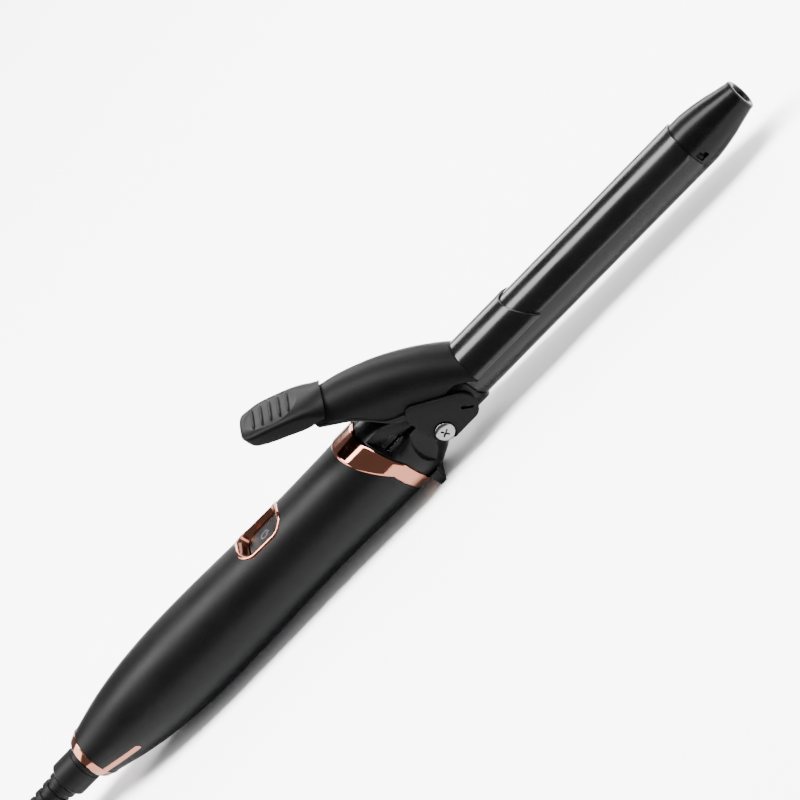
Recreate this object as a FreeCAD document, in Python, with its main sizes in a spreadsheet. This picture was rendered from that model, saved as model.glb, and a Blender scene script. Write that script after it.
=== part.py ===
import FreeCAD, Part
import math
import os
from types import SimpleNamespace

import Sketcher

V = FreeCAD.Vector
X_AXIS = V(1, 0, 0)
Y_AXIS = V(0, 1, 0)
Z_AXIS = V(0, 0, 1)
ORIGIN = V(0, 0, 0)

# A slim curling iron, lying level on its handle and its foot. +X points along the barrel
# to the cool tip, +Z up through the clamp lever and the button. The origin is on the table
# under the middle of the iron, leaving out its cord. All sizes are in millimetres.
SIZES = [
    ("axis_height", 16.8, "barrel axis above the table"),
    ("collar_front", 0.6, "front trim ring's lower back edge, behind the origin"),
    ("handle_length", 155.3, "rear ring to front ring, along the underside"),
    ("handle_wall", 2.2, "wall of the handle shells"),
    ("rear_radius", 10.25, "handle at the rear ring"),
    ("shoulder_radius", 13.6, "handle where the rear taper ends"),
    ("shoulder_from_rear", 15.0, ""),
    ("flank_radius", 15.9, "handle before its widest place"),
    ("flank_from_rear", 33.0, ""),
    ("belly_radius", 16.8, "widest place of the handle"),
    ("belly_from_rear", 59.6, ""),
    ("waist_radius", 15.8, "narrow place of the handle"),
    ("waist_from_front", 50.0, ""),
    ("front_radius", 16.4, "handle at the front ring"),
    ("ring_width", 5.9, "front ring along the underside"),
    ("ring_wall", 2.4, "front ring's wall"),
    ("ring_back_slant", 11.2, "how far the ring's back edge runs back at the top"),
    ("ring_front_slant", 6.3, "the same for its front edge"),
    ("spigot_length", 9.0, "housing's spigot behind the ring's slant"),
    ("spigot_wall", 1.9, ""),
    ("shoulder_length", 3.2, "cylindrical start of the front housing"),
    ("cone_mid", 6.7, "front ring to the middle of the cone"),
    ("cone_mid_radius", 14.3, ""),
    ("cone_end", 10.2, "front ring to the end of the cone"),
    ("cone_end_radius", 12.7, ""),
    ("neck_start", 13.0, "front ring to the start of the neck"),
    ("neck_radius", 10.6, ""),
    ("neck_length", 20.7, ""),
    ("neck_chamfer", 0.6, ""),
    ("foot_length", 2.6, ""),
    ("foot_half_width", 12.0, ""),
    ("foot_rise", 5.2, ""),
    ("rear_ring_length", 4.4, ""),
    ("rear_ring_edge", 8.4, "radius of the rear ring's back edge"),
    ("rear_ring_bore", 5.2, ""),
    ("finger_length", 17.2, "fingers of the rear ring, let into the handle"),
    ("finger_width", 2.5, ""),
    ("finger_depth", 0.9, ""),
    ("finger_angle", 108.0, "degrees round from the top"),
    ("collar_radius", 7.2, "swivel collar of the cord"),
    ("collar_length", 11.7, ""),
    ("swivel_gap", 0.3, "between turning and fixed faces"),
    ("running_gap", 0.08, "radial clearance of a running fit"),
    ("stem_radius", 4.9, "swivel's stem"),
    ("flange_radius", 7.0, "swivel's flange inside the socket"),
    ("flange_length", 2.5, ""),
    ("socket_radius", 7.9, ""),
    ("socket_bearing", 5.6, "length of the swivel's bearing"),
    ("relief_length", 26.0, "tapered cord guard"),
    ("relief_radius", 5.6, ""),
    ("relief_end_radius", 4.1, ""),
    ("cord_diameter", 5.6, ""),
    ("cord_play", 0.3, ""),
    ("hank_run", 49.0, "straight part of the stored cord's hank"),
    ("hank_fold", 17.0, "inner fold radius of the hank, at the cord's middle"),
    ("hank_behind", 35.7, "hank's near fold centre behind the cord guard"),
    ("hank_aside", 8.4, "hank's middle to one side of the axis"),
    ("hank_height", 22.4, "four layers of cord"),
    ("plug_length", 24.0, "body of the mains plug"),
    ("plug_width", 24.0, ""),
    ("plug_height", 13.6, ""),
    ("plug_nose", 8.0, "where the cord enters the plug"),
    ("pin_length", 19.0, ""),
    ("pin_radius", 2.0, ""),
    ("pin_spacing", 18.6, ""),
    ("barrel_radius", 9.5, ""),
    ("barrel_wall", 0.8, ""),
    ("barrel_length", 119.8, ""),
    ("barrel_seat", 11.0, "length of the barrel inside the neck"),
    ("barrel_fit", 0.1, ""),
    ("bush_length", 1.5, "insulating bush behind the barrel"),
    ("bush_spigot", 6.0, ""),
    ("wire_bore", 5.4, "radius of the wire way through the neck"),
    ("tip_length", 24.5, "cool tip"),
    ("tip_bore", 3.4, ""),
    ("tip_web", 3.2, "web that the tip screw clamps"),
    ("plug_depth", 6.8, "end plug of the barrel"),
    ("heater_start", 22.0, "from the barrel's back end"),
    ("heater_short", 13.8, "from the heater's front end to the barrel's"),
    ("ptc_width", 10.0, ""),
    ("ptc_height", 2.4, ""),
    ("film", 0.4, "insulating film"),
    ("bezel_length", 22.0, "button surround"),
    ("bezel_width", 18.5, ""),
    ("bezel_corner", 6.4, ""),
    ("bezel_from_front", 51.0, "button's centre behind the front ring"),
    ("bezel_stand", 0.35, "height of its rim above the handle"),
    ("bezel_rim", 1.1, ""),
    ("bezel_base", 9.1, "underside of the surround above the axis"),
    ("button_length", 15.6, ""),
    ("button_width", 13.9, ""),
    ("button_corner", 4.4, ""),
    ("button_top", 11.9, "above the axis"),
    ("button_gap", 0.3, ""),
    ("button_flange", 0.9, ""),
    ("button_travel", 0.8, ""),
    ("board_length", 58.0, ""),
    ("board_width", 23.0, ""),
    ("board_thick", 1.6, ""),
    ("board_top", 3.0, "above the axis"),
    ("switch_side", 6.0, ""),
    ("switch_height", 3.4, ""),
    ("pivot_x", 17.2, "clamp pivot in front of the front ring's front edge"),
    ("pivot_drop", 3.4, "clamp pivot below the axis"),
    ("plate_inside", 11.6, "hinge plates' inner faces from the middle"),
    ("plate_thick", 1.4, ""),
    ("plate_end_radius", 4.2, ""),
    ("screw_head_radius", 3.55, ""),
    ("screw_head", 1.4, ""),
    ("head_recess_radius", 4.2, ""),
    ("head_recess", 0.9, ""),
    ("bushing_radius", 2.5, ""),
    ("screw_radius", 1.5, ""),
    ("lever_wall", 1.8, ""),
    ("lever_half_width", 11.5, ""),
    ("lever_opening", 20.0, "degrees that the clamp opens"),
    ("core_half_width", 9.0, "housing inside the lever's channel"),
    ("swing_low", 4.6, "floor of the lever's swing above the axis"),
    ("plate_swing", 11.9, "radius that the hinge plates sweep beside the housing"),
    ("spring_pocket", 7.0, "floor of the spring pockets from the middle"),
    ("spring_outside", 4.2, ""),
    ("spring_inside", 2.9, ""),
    ("post_radius", 2.3, "posts that the pivot screws thread into"),
    ("wire_radius", 0.9, ""),
    ("rear_wire_side", 5.2, "rear wires from the middle"),
    ("front_wire_side", 3.0, "front wires from the middle"),
    ("board_screw_inset", 7.0, "board screws from the board's ends"),
    ("clip_gap", 0.2, "between the clip and the barrel"),
    ("clip_thick", 0.5, ""),
    ("clip_angle", 82.0, "half of the clip's wrap, in degrees"),
    ("clip_overlap", 3.2, "clip under the lever's front edge"),
    ("sleeve_thick", 1.05, ""),
    ("sleeve_length", 23.7, "along the top"),
    ("sleeve_sweep", 8.7, "how much longer it is at its sides"),
]
values = {alias: value for alias, value, _ in SIZES}

doc = FreeCAD.newDocument("curling_iron")
sheet = doc.addObject("Spreadsheet::Sheet", "Sizes")
for row, (alias, value, note) in enumerate(SIZES, start=1):
    sheet.set(f"A{row}", alias)
    sheet.set(f"B{row}", str(value))
    sheet.setAlias(f"B{row}", alias)
    sheet.set(f"C{row}", note)
doc.recompute()


class Size:
    """A number, and the expression that binds a property to the sheet's cells."""

    def __init__(self, number, text):
        self.number = number
        self.text = text

    def __add__(self, other):
        other = as_size(other)
        return Size(self.number + other.number, f"({self.text} + {other.text})")

    def __sub__(self, other):
        other = as_size(other)
        return Size(self.number - other.number, f"({self.text} - {other.text})")

    def __mul__(self, other):
        other = as_size(other)
        return Size(self.number * other.number, f"({self.text} * {other.text})")

    def __neg__(self):
        return Size(-self.number, f"(0 - {self.text})")

    def __float__(self):
        return self.number


def as_size(value):
    if isinstance(value, Size):
        return value
    return Size(float(value), f"({float(value)})")


s = SimpleNamespace(**{alias: Size(value, f"Sizes.{alias}") for alias, value in values.items()})

# Places along the iron that several pieces share.
ring_back = -s.collar_front
ring_front = ring_back + s.ring_width
handle_back = ring_back - s.handle_length
rear_face = handle_back - s.rear_ring_length
collar_back = rear_face - s.swivel_gap - s.collar_length
relief_back = collar_back - s.relief_length
neck_start = ring_front + s.neck_start
neck_end = neck_start + s.neck_length
barrel_back = neck_end - s.barrel_seat
barrel_front = barrel_back + s.barrel_length
tip_front = barrel_front + s.tip_length
bush_back = barrel_back - s.bush_length
barrel_bore = s.barrel_radius - s.barrel_wall
spigot_radius = s.front_radius - s.ring_wall
button_x = ring_back - s.bezel_from_front
board_back = button_x - s.board_length * 0.45
pivot_x = ring_front + s.pivot_x - s.collar_front
pivot_z = s.axis_height - s.pivot_drop
plate_outside = s.plate_inside + s.plate_thick
clip_inner = s.barrel_radius + s.clip_gap
clip_outer = clip_inner + s.clip_thick
lever_front = neck_end + 3.7
clip_back = lever_front - s.clip_overlap
# The widest things that any cutting solid has to pass through.
CLEAR = 60.0

pieces = []


def keep(thing, node):
    """Name a finished piece and put it on the list of those to be written."""
    thing.Label = node
    pieces.append(thing)
    return thing


def bind_place(thing, x=0, y=0, z=0):
    for letter, value in zip("xyz", (x, y, z)):
        thing.setExpression(f"Placement.Base.{letter}", as_size(value).text)


def cylinder(name, radius, length, x=0, y=0, z=0, axis="X"):
    """A cylinder that starts at x, y, z and runs along the given axis."""
    thing = doc.addObject("Part::Cylinder", name)
    thing.setExpression("Radius", as_size(radius).text)
    thing.setExpression("Height", as_size(length).text)
    turns = {"X": (Y_AXIS, 90), "Y": (X_AXIS, -90), "-Y": (X_AXIS, 90), "Z": (Z_AXIS, 0)}
    thing.Placement = FreeCAD.Placement(ORIGIN, FreeCAD.Rotation(*turns[axis]))
    bind_place(thing, x, y, z)
    return thing


def box(name, length, width, height, x, z, y=0):
    """A box centred on y that starts at x and z."""
    thing = doc.addObject("Part::Box", name)
    thing.setExpression("Length", as_size(length).text)
    thing.setExpression("Width", as_size(width).text)
    thing.setExpression("Height", as_size(height).text)
    bind_place(thing, x, as_size(y) - as_size(width) * 0.5, z)
    return thing


def join(name, things):
    thing = doc.addObject("Part::MultiFuse", name)
    thing.Shapes = things
    return thing


def group(name, things):
    """Separate solids that share one node."""
    thing = doc.addObject("Part::Compound", name)
    thing.Links = things
    return thing


def cut(name, base, *tools):
    thing = doc.addObject("Part::Cut", name)
    thing.Base = base
    thing.Tool = tools[0] if len(tools) == 1 else join(name + "_tools", list(tools))
    return thing


def outline_sketch(body, name, corners):
    """A closed outline on the body's own XZ plane, every corner bound to the sheet."""
    sketch = body.newObject("Sketcher::SketchObject", name)
    plane = next(f for f in body.Origin.OriginFeatures if f.Role == "XZ_Plane")
    sketch.AttachmentSupport = [(plane, "")]
    sketch.MapMode = "FlatFace"
    corners = [(as_size(across), as_size(up)) for across, up in corners]
    count = len(corners)
    for index in range(count):
        start = corners[index]
        end = corners[(index + 1) % count]
        line = Part.LineSegment(V(start[0].number, start[1].number, 0), V(end[0].number, end[1].number, 0))
        sketch.addGeometry(line, False)
    for index in range(count):
        sketch.addConstraint(Sketcher.Constraint("Coincident", index, 2, (index + 1) % count, 1))
    for index, corner in enumerate(corners):
        for kind, value in zip(("DistanceX", "DistanceY"), corner):
            number = sketch.addConstraint(Sketcher.Constraint(kind, -1, 1, index, 1, value.number))
            sketch.setExpression(f"Constraints[{number}]", value.text)
    return sketch


def turned(name, corners):
    """A piece turned about the barrel's axis; each corner is a place on the axis and a radius."""
    body = doc.addObject("PartDesign::Body", name)
    sketch = outline_sketch(body, name + "_outline", corners)
    turn = body.newObject("PartDesign::Revolution", name + "_turn")
    turn.Profile = (sketch, [""])
    turn.ReferenceAxis = (sketch, ["H_Axis"])
    turn.Angle = 360
    sketch.Visibility = False
    bind_place(body, z=s.axis_height)
    return body


def plate(name, corners, thick, y=0):
    """A flat piece: corners in the XZ plane above the table, its thickness centred on y."""
    body = doc.addObject("PartDesign::Body", name)
    sketch = outline_sketch(body, name + "_outline", corners)
    pad = body.newObject("PartDesign::Pad", name + "_pad")
    pad.Profile = (sketch, [""])
    pad.Midplane = True
    pad.setExpression("Length", as_size(thick).text)
    sketch.Visibility = False
    bind_place(body, y=y)
    return body


def made(name, shape):
    """A free-form piece whose shape is worked out below from the sheet's values."""
    thing = doc.addObject("Part::Feature", name)
    thing.Shape = shape
    return thing


def number(size):
    return float(size)


AXIS_Z = number(s.axis_height)


def revolve(edges):
    """A solid turned about the barrel's axis from the edges of a closed outline."""
    face = Part.Face(Part.Wire(edges))
    return face.revolve(V(0, 0, AXIS_Z), X_AXIS, 360)


def at_axis(x, radius, angle=0.0):
    """A point at a radius from the barrel's axis; the angle is in degrees from the top."""
    turn = math.radians(angle)
    return V(number(x), number(radius) * math.sin(turn), AXIS_Z + number(radius) * math.cos(turn))


def handle_line(inset):
    """The handle's outline, moved inwards by a wall."""
    stations = [
        (handle_back, s.rear_radius),
        (handle_back + s.shoulder_from_rear, s.shoulder_radius),
        (handle_back + s.flank_from_rear, s.flank_radius),
        (handle_back + s.belly_from_rear, s.belly_radius),
        (ring_back - s.waist_from_front, s.waist_radius),
        (ring_front, s.front_radius),
    ]
    curve = Part.BSplineCurve()
    curve.interpolate([at_axis(x, number(radius) - inset) for x, radius in stations])
    return curve.toShape()


def handle_solid(inset):
    line = handle_line(inset)
    start = line.Vertexes[0].Point
    end = line.Vertexes[-1].Point
    foot_start = V(start.x, 0, AXIS_Z)
    foot_end = V(end.x, 0, AXIS_Z)
    corners = [end, foot_end, foot_start, start]
    edges = [line] + [Part.makeLine(*pair) for pair in zip(corners, corners[1:])]
    return revolve(edges)


def side_cut(corners, half_width=CLEAR):
    """A prism across the iron from an outline in its side view."""
    points = [V(number(x), -half_width, number(z)) for x, z in corners]
    face = Part.Face(Part.makePolygon(points + points[:1]))
    return face.extrude(V(0, 2 * half_width, 0))


def rod(x, radius, length):
    return Part.makeCylinder(number(radius), number(length), V(number(x), 0, AXIS_Z), X_AXIS)


def rounded_prism(length, width, corner, low, high, x):
    """An upright block with rounded corners."""
    half_length = number(length) / 2
    half_width = number(width) / 2
    corner = number(corner)
    core = Part.makeBox(2 * half_length, 2 * half_width, high - low, V(x - half_length, -half_width, low))
    upright = [edge for edge in core.Edges if abs(edge.tangentAt(edge.FirstParameter).z) > 0.9]
    return core.makeFillet(corner, upright)


# The slanted ring: seen from the side its edges are upright below the axis and lean back above it.
RISE = 2.0 * number(s.front_radius)
back_lean = number(s.ring_back_slant) / number(s.front_radius) * RISE
front_lean = number(s.ring_front_slant) / number(s.front_radius) * RISE
ring_side = [
    (ring_back, AXIS_Z - RISE),
    (ring_front, AXIS_Z - RISE),
    (ring_front, AXIS_Z),
    (number(ring_front) - front_lean, AXIS_Z + RISE),
    (number(ring_back) - back_lean, AXIS_Z + RISE),
    (ring_back, AXIS_Z),
]
behind_ring = side_cut(
    [
        (-10 * CLEAR, AXIS_Z - RISE),
        (ring_back, AXIS_Z - RISE),
        (ring_back, AXIS_Z),
        (number(ring_back) - back_lean, AXIS_Z + RISE),
        (-10 * CLEAR, AXIS_Z + RISE),
    ]
)
ahead_of_ring = side_cut(
    [
        (ring_front, AXIS_Z - RISE),
        (10 * CLEAR, AXIS_Z - RISE),
        (10 * CLEAR, AXIS_Z + RISE),
        (number(ring_front) - front_lean, AXIS_Z + RISE),
        (ring_front, AXIS_Z),
    ]
)

handle_outside = handle_solid(0.0)
handle_inside = handle_solid(number(s.handle_wall))
casing = handle_outside.cut(handle_inside).common(behind_ring)
front_ring = handle_outside.cut(rod(-CLEAR, spigot_radius, 4 * CLEAR)).common(side_cut(ring_side))
keep(made("front_trim_ring_shape", front_ring), "front_trim_ring")

# Rear ring: a cap with a bore for the swivel and two fingers let into the handle's sides.
rear_cap = turned(
    "rear_cap",
    [
        (rear_face, s.rear_ring_bore),
        (rear_face, s.rear_ring_edge),
        (rear_face + 0.7, s.rear_ring_edge + 0.7),
        (handle_back, s.rear_radius),
        (handle_back, s.rear_ring_bore),
    ],
)
doc.recompute()


def finger_space(side, extra):
    """The strip that a finger fills, cut out of the shell it lies in."""
    length = number(s.finger_length)
    width = number(s.finger_width)
    start = number(handle_back)
    strip = Part.makeBox(length - width / 2, width, CLEAR, V(start, -width / 2, 0))
    strip = strip.fuse(Part.makeCylinder(width / 2, CLEAR, V(start + length - width / 2, 0, 0)))
    skin = handle_solid(-extra).cut(handle_solid(number(s.finger_depth)))
    strip.translate(V(0, 0, AXIS_Z))
    strip.rotate(V(0, 0, AXIS_Z), X_AXIS, -side * number(s.finger_angle))
    return strip.common(skin)


fingers = [finger_space(side, 0.0) for side in (-1, 1)]
keep(made("rear_trim_ring_shape", rear_cap.Shape.copy().multiFuse(fingers)), "rear_trim_ring")

# Front housing: spigot, shoulder, cone and neck, cut away for the clamp lever to swing.
housing_turn = turned(
    "housing_turn",
    [
        (ring_front - s.ring_front_slant, 0),
        (ring_front - s.ring_front_slant, s.front_radius - 0.5),
        (ring_front + s.shoulder_length, s.front_radius - 0.7),
        (ring_front + s.cone_mid, s.cone_mid_radius),
        (ring_front + s.cone_end, s.cone_end_radius),
        (neck_start, s.neck_radius),
        (neck_end - s.neck_chamfer, s.neck_radius),
        (neck_end, s.neck_radius - s.neck_chamfer),
        (neck_end, 0),
    ],
)
spigot_back = ring_back - s.ring_back_slant - s.spigot_length
housing_hollow = turned(
    "housing_hollow",
    [
        (spigot_back - 1, 0),
        (spigot_back - 1, spigot_radius - s.spigot_wall),
        (ring_front + s.shoulder_length, spigot_radius - s.spigot_wall),
        (neck_start - 3, s.wire_bore),
        (bush_back, s.wire_bore),
        (bush_back, s.barrel_radius + s.barrel_fit),
        (neck_end + 1, s.barrel_radius + s.barrel_fit),
        (neck_end + 1, 0),
    ],
)
doc.recompute()
PX = number(pivot_x)
PZ = number(pivot_z)
# The spigot fills the ring and, behind it, the handle's inside, less a gap for assembly.
ASSEMBLY_GAP = 0.05
spigot = rod(spigot_back, spigot_radius - ASSEMBLY_GAP, ring_front - spigot_back + 1)
handle_room = handle_solid(number(s.handle_wall) + ASSEMBLY_GAP)
spigot_behind = spigot.common(handle_room).common(behind_ring)
spigot_ahead = spigot.cut(behind_ring)
body_of_housing = housing_turn.Shape.common(ahead_of_ring).multiFuse([spigot_behind, spigot_ahead])
swing_low = AXIS_Z + number(s.swing_low)
RING_CLEARANCE = 0.5
swing_back_low = number(ring_front) + RING_CLEARANCE - front_lean * number(s.swing_low) / RISE
swing_back_high = number(ring_front) + RING_CLEARANCE - front_lean
swing_front = number(neck_start) + 6.2
swing_side = [
    (swing_front, swing_low),
    (swing_back_low, swing_low),
    (swing_back_high, AXIS_Z + RISE),
    (swing_front, AXIS_Z + RISE),
]
core_wide = number(s.core_half_width)
core = Part.makeBox(4 * CLEAR, core_wide * 2, CLEAR, V(-2 * CLEAR, -core_wide, 0))
swing = side_cut(swing_side).cut(core)
pocket_floor = number(s.spring_pocket)
post_length = number(s.neck_radius) - 0.4 - pocket_floor
housing = body_of_housing.cut(housing_hollow.Shape).cut(swing)
for side in (-1, 1):
    direction = V(0, side, 0)
    room_start = side * (number(s.plate_inside) - 0.4)
    pocket_start = V(PX, side * pocket_floor, PZ)
    plate_room = Part.makeCylinder(number(s.plate_swing), CLEAR, V(PX, room_start, PZ), direction)
    spring_room = Part.makeCylinder(number(s.spring_outside) + 0.5, CLEAR, pocket_start, direction)
    post = Part.makeCylinder(number(s.post_radius), post_length, pocket_start, direction)
    housing = housing.cut(plate_room).cut(spring_room).fuse(post)
screw_line = Part.makeCylinder(number(s.screw_radius) + 0.01, 2 * CLEAR, V(PX, -CLEAR, PZ), Y_AXIS)
housing = housing.cut(screw_line)
keep(made("front_housing_shape", housing), "front_housing")

# Foot: a low bar under the shoulder, as wide as the iron needs to stand without rolling.
foot_bar = side_cut(
    [
        (ring_front + 0.1, 0),
        (ring_front + 0.1 + s.foot_length, 0),
        (ring_front + 1.2 + s.foot_length, s.foot_rise),
        (ring_front + 0.1, s.foot_rise),
    ],
    number(s.foot_half_width),
)
keep(made("stand_foot_shape", foot_bar.cut(housing_turn.Shape)), "stand_foot")

# Handle shells, split along the level through the axis, with posts for the screws.
upper_space = Part.makeBox(20 * CLEAR, 2 * CLEAR, CLEAR, V(-10 * CLEAR, -CLEAR, AXIS_Z))
lower_space = Part.makeBox(20 * CLEAR, 2 * CLEAR, CLEAR, V(-10 * CLEAR, -CLEAR, AXIS_Z - CLEAR))
BX = number(button_x)
window = rounded_prism(s.bezel_length, s.bezel_width, s.bezel_corner, AXIS_Z, 3 * AXIS_Z, BX)
# The case screws lie at these shares of the handle's length from its back end.
CASE_SCREW_SHARES = (0.174, 0.406)
case_screw_x = [number(handle_back + s.handle_length * share) for share in CASE_SCREW_SHARES]
board_bottom = AXIS_Z + number(s.board_top) - number(s.board_thick)
board_inset = number(s.board_screw_inset)
board_x = [number(board_back) + board_inset, number(board_back) + number(s.board_length) - board_inset]
board_y = number(s.board_width) / 2 - 3.6
upper_posts = []
lower_posts = []
screw_holes = []
for x in case_screw_x:
    upper_posts.append(Part.makeCylinder(3.4, CLEAR, V(x, 0, AXIS_Z)))
    lower_posts.append(Part.makeCylinder(3.8, CLEAR, V(x, 0, AXIS_Z - CLEAR)))
    screw_holes.append(Part.makeCylinder(1.5, CLEAR + 8.5, V(x, 0, AXIS_Z - CLEAR)))
    screw_holes.append(Part.makeCylinder(3.0, CLEAR, V(x, 0, AXIS_Z - 10.0 - CLEAR)))
for x in board_x:
    for y in (-board_y, board_y):
        lower_posts.append(Part.makeCylinder(2.2, CLEAR, V(x, y, board_bottom - CLEAR)))
        screw_holes.append(Part.makeCylinder(1.0, 5.0, V(x, y, board_bottom - 5.0)))
inner_posts = handle_solid(number(s.handle_wall) - 0.1).common(behind_ring)


def shell(space, posts_inside, holes):
    shape = casing.common(space)
    for post_shape in posts_inside:
        shape = shape.fuse(post_shape.common(inner_posts))
    for hole in holes:
        shape = shape.cut(hole)
    return shape


upper = shell(upper_space, upper_posts, [window] + screw_holes)
lower = shell(lower_space, lower_posts, screw_holes + fingers)
keep(made("handle_upper_shell_shape", upper), "handle_upper_shell")
keep(made("handle_lower_shell_shape", lower), "handle_lower_shell")
case_screws = []
for index, x in enumerate(case_screw_x):
    shaft = cylinder(f"case_screw_shaft{index}", 1.5, 18.5, x, 0, s.axis_height - 10.0, "Z")
    head = cylinder(f"case_screw_head{index}", 2.8, 2.0, x, 0, s.axis_height - 12.0, "Z")
    case_screws.append(join(f"case_screw{index}", [shaft, head]))
keep(group("case_screw_group", case_screws), "case_screws")

# Button surround: its rim follows the handle, its walls slope down to the button.
bezel_low = AXIS_Z + number(s.bezel_base)
surround = window.common(handle_solid(-number(s.bezel_stand)))
surround = surround.cut(Part.makeBox(CLEAR, CLEAR, bezel_low, V(BX - CLEAR / 2, -CLEAR / 2, 0)))
button_hole_length = number(s.button_length) + 2 * number(s.button_gap)
button_hole_width = number(s.button_width) + 2 * number(s.button_gap)
mouth_length = number(s.bezel_length) - 2 * number(s.bezel_rim)
mouth_width = number(s.bezel_width) - 2 * number(s.bezel_rim)


def rounded_wire(length, width, corner, z):
    prism = rounded_prism(length, width, corner, z, z + 1.0, BX)
    face = min(prism.Faces, key=lambda f: f.CenterOfMass.z)
    return face.OuterWire


slope_low = AXIS_Z + number(s.button_top) - 0.6
slope_high = AXIS_Z + number(s.waist_radius) + 1.0
slope = Part.makeLoft(
    [
        rounded_wire(button_hole_length, button_hole_width, number(s.button_corner) + 0.3, slope_low),
        rounded_wire(mouth_length, mouth_width, number(s.bezel_corner) - 1.0, slope_high),
    ],
    True,
)
hole_corner = number(s.button_corner) + number(s.button_gap)
through = rounded_prism(button_hole_length, button_hole_width, hole_corner, 0, slope_low + 0.1, BX)
keep(made("switch_bezel_shape", surround.cut(slope).cut(through)), "switch_bezel")

# Power button: a flat cap with a flange that holds it under the surround.
flange_top = bezel_low - 0.2
flange_bottom = flange_top - number(s.button_flange)
cap_top = AXIS_Z + number(s.button_top)
cap = rounded_prism(s.button_length, s.button_width, s.button_corner, flange_bottom, cap_top, BX)
flange = rounded_prism(
    number(s.button_length) + 2.4,
    number(s.button_width) + 2.0,
    number(s.button_corner) + 0.5,
    flange_bottom,
    flange_top,
    BX,
)
keep(made("power_button_shape", cap.fuse(flange)), "power_button")

# Circuit board with the switch, the lamp and its screws.
board_z = s.axis_height + s.board_top
board_low = board_z - s.board_thick
board = box("board_blank", s.board_length, s.board_width, s.board_thick, board_back, board_low)
board_holes = []
board_screws = []
for index, x in enumerate(board_x):
    for label, y in (("left", -board_y), ("right", board_y)):
        hole = cylinder(f"board_hole_{label}{index}", 1.1, 4.0, x, y, board_z - 3.0, "Z")
        board_holes.append(hole)
        shaft = cylinder(f"board_shaft_{label}{index}", 1.0, 5.0, x, y, board_z - 5.0, "Z")
        head = cylinder(f"board_head_{label}{index}", 1.9, 1.1, x, y, board_z, "Z")
        board_screws.append(join(f"board_screw_{label}{index}", [shaft, head]))
keep(cut("board_drilled", board, *board_holes), "circuit_board")
keep(group("board_screw_group", board_screws), "board_screws")
switch_x = button_x - s.switch_side * 0.5
switch_body = box("switch_body", s.switch_side, s.switch_side, s.switch_height, switch_x, board_z)
plunger = cylinder("switch_plunger", 1.7, 0.7, button_x, 0, board_z + s.switch_height, "Z")
keep(join("switch_whole", [switch_body, plunger]), "tact_switch")
keep(cylinder("lamp", 1.5, 3.0, button_x + 12.0, 0, board_z, "Z"), "indicator_lamp")
spring_height = flange_bottom - number(board_z)
spring_outside = cylinder("button_spring_outside", 5.4, spring_height, button_x, 0, board_z, "Z")
spring_inside = cylinder("button_spring_inside", 4.6, spring_height, button_x, 0, board_z, "Z")
keep(cut("button_spring_wound", spring_outside, spring_inside), "button_spring")

# Swivel at the back: collar, stem and flange turn in a fixed socket.
socket_front = handle_back + s.socket_bearing + s.flange_length + 6.4
keep(
    turned(
        "socket",
        [
            (handle_back, s.stem_radius + s.running_gap),
            (handle_back, s.socket_radius - 0.3),
            (handle_back + 3.0, s.socket_radius),
            (socket_front, s.socket_radius),
            (socket_front, 1.2),
            (socket_front - 3.0, 1.2),
            (socket_front - 3.0, s.flange_radius + s.swivel_gap),
            (handle_back + s.socket_bearing, s.flange_radius + s.swivel_gap),
            (handle_back + s.socket_bearing, s.stem_radius + s.running_gap),
        ],
    ),
    "swivel_socket",
)
contact_back = handle_back + s.socket_bearing + s.swivel_gap + s.flange_length + s.swivel_gap
keep(cylinder("contact_pin", 1.1, 6.0, contact_back, 0, s.axis_height), "swivel_contacts")
cord_radius = s.cord_diameter * 0.5
cord_bore = cord_radius + s.cord_play
keep(
    turned(
        "collar",
        [
            (collar_back, cord_bore),
            (collar_back, s.collar_radius - 0.5),
            (collar_back + 0.5, s.collar_radius),
            (rear_face - s.swivel_gap, s.collar_radius),
            (rear_face - s.swivel_gap, s.stem_radius),
            (handle_back + s.socket_bearing + s.swivel_gap, s.stem_radius),
            (handle_back + s.socket_bearing + s.swivel_gap, s.flange_radius),
            (contact_back - s.swivel_gap, s.flange_radius),
            (contact_back - s.swivel_gap, cord_bore),
        ],
    ),
    "swivel_collar",
)
keep(
    turned(
        "relief",
        [
            (relief_back, cord_bore),
            (relief_back, s.relief_end_radius),
            (collar_back, s.relief_radius),
            (collar_back, cord_bore),
        ],
    ),
    "strain_relief",
)

# Barrel with its heater and the cool tip.
keep(
    turned(
        "tube",
        [
            (barrel_back, barrel_bore),
            (barrel_back, s.barrel_radius),
            (barrel_front, s.barrel_radius),
            (barrel_front, barrel_bore),
        ],
    ),
    "barrel",
)
keep(
    turned(
        "bush",
        [
            (bush_back, s.wire_bore),
            (bush_back, s.barrel_radius),
            (barrel_back, s.barrel_radius),
            (barrel_back, barrel_bore),
            (barrel_back + s.bush_spigot, barrel_bore),
            (barrel_back + s.bush_spigot, s.wire_bore),
        ],
    ),
    "barrel_insulator",
)
heater_back = barrel_back + s.heater_start
heater_length = s.barrel_length - s.heater_start - s.heater_short
block_gap = s.ptc_height + s.film * 2
heater_round = cylinder("heater_round", barrel_bore - 0.05, heater_length, heater_back, 0, s.axis_height)
block_lows = {"heater_block_upper": block_gap * 0.5, "heater_block_lower": -block_gap * 0.5 - CLEAR}
for node, low in block_lows.items():
    slab = box(node + "_slab", heater_length, CLEAR, CLEAR, heater_back, s.axis_height + low)
    half = doc.addObject("Part::Common", node + "_half")
    half.Base = heater_round
    half.Tool = slab
    keep(half, node)
ptc_back = heater_back + 2.0
ptc_length = heater_length - 4.0
keep(
    box("ptc", ptc_length, s.ptc_width, s.ptc_height, ptc_back, s.axis_height - s.ptc_height * 0.5),
    "ptc_heater",
)
film_outside = box(
    "film_outside",
    ptc_length,
    s.ptc_width + s.film * 2,
    block_gap,
    ptc_back,
    s.axis_height - block_gap * 0.5,
)
ptc_low = s.axis_height - s.ptc_height * 0.5
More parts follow.
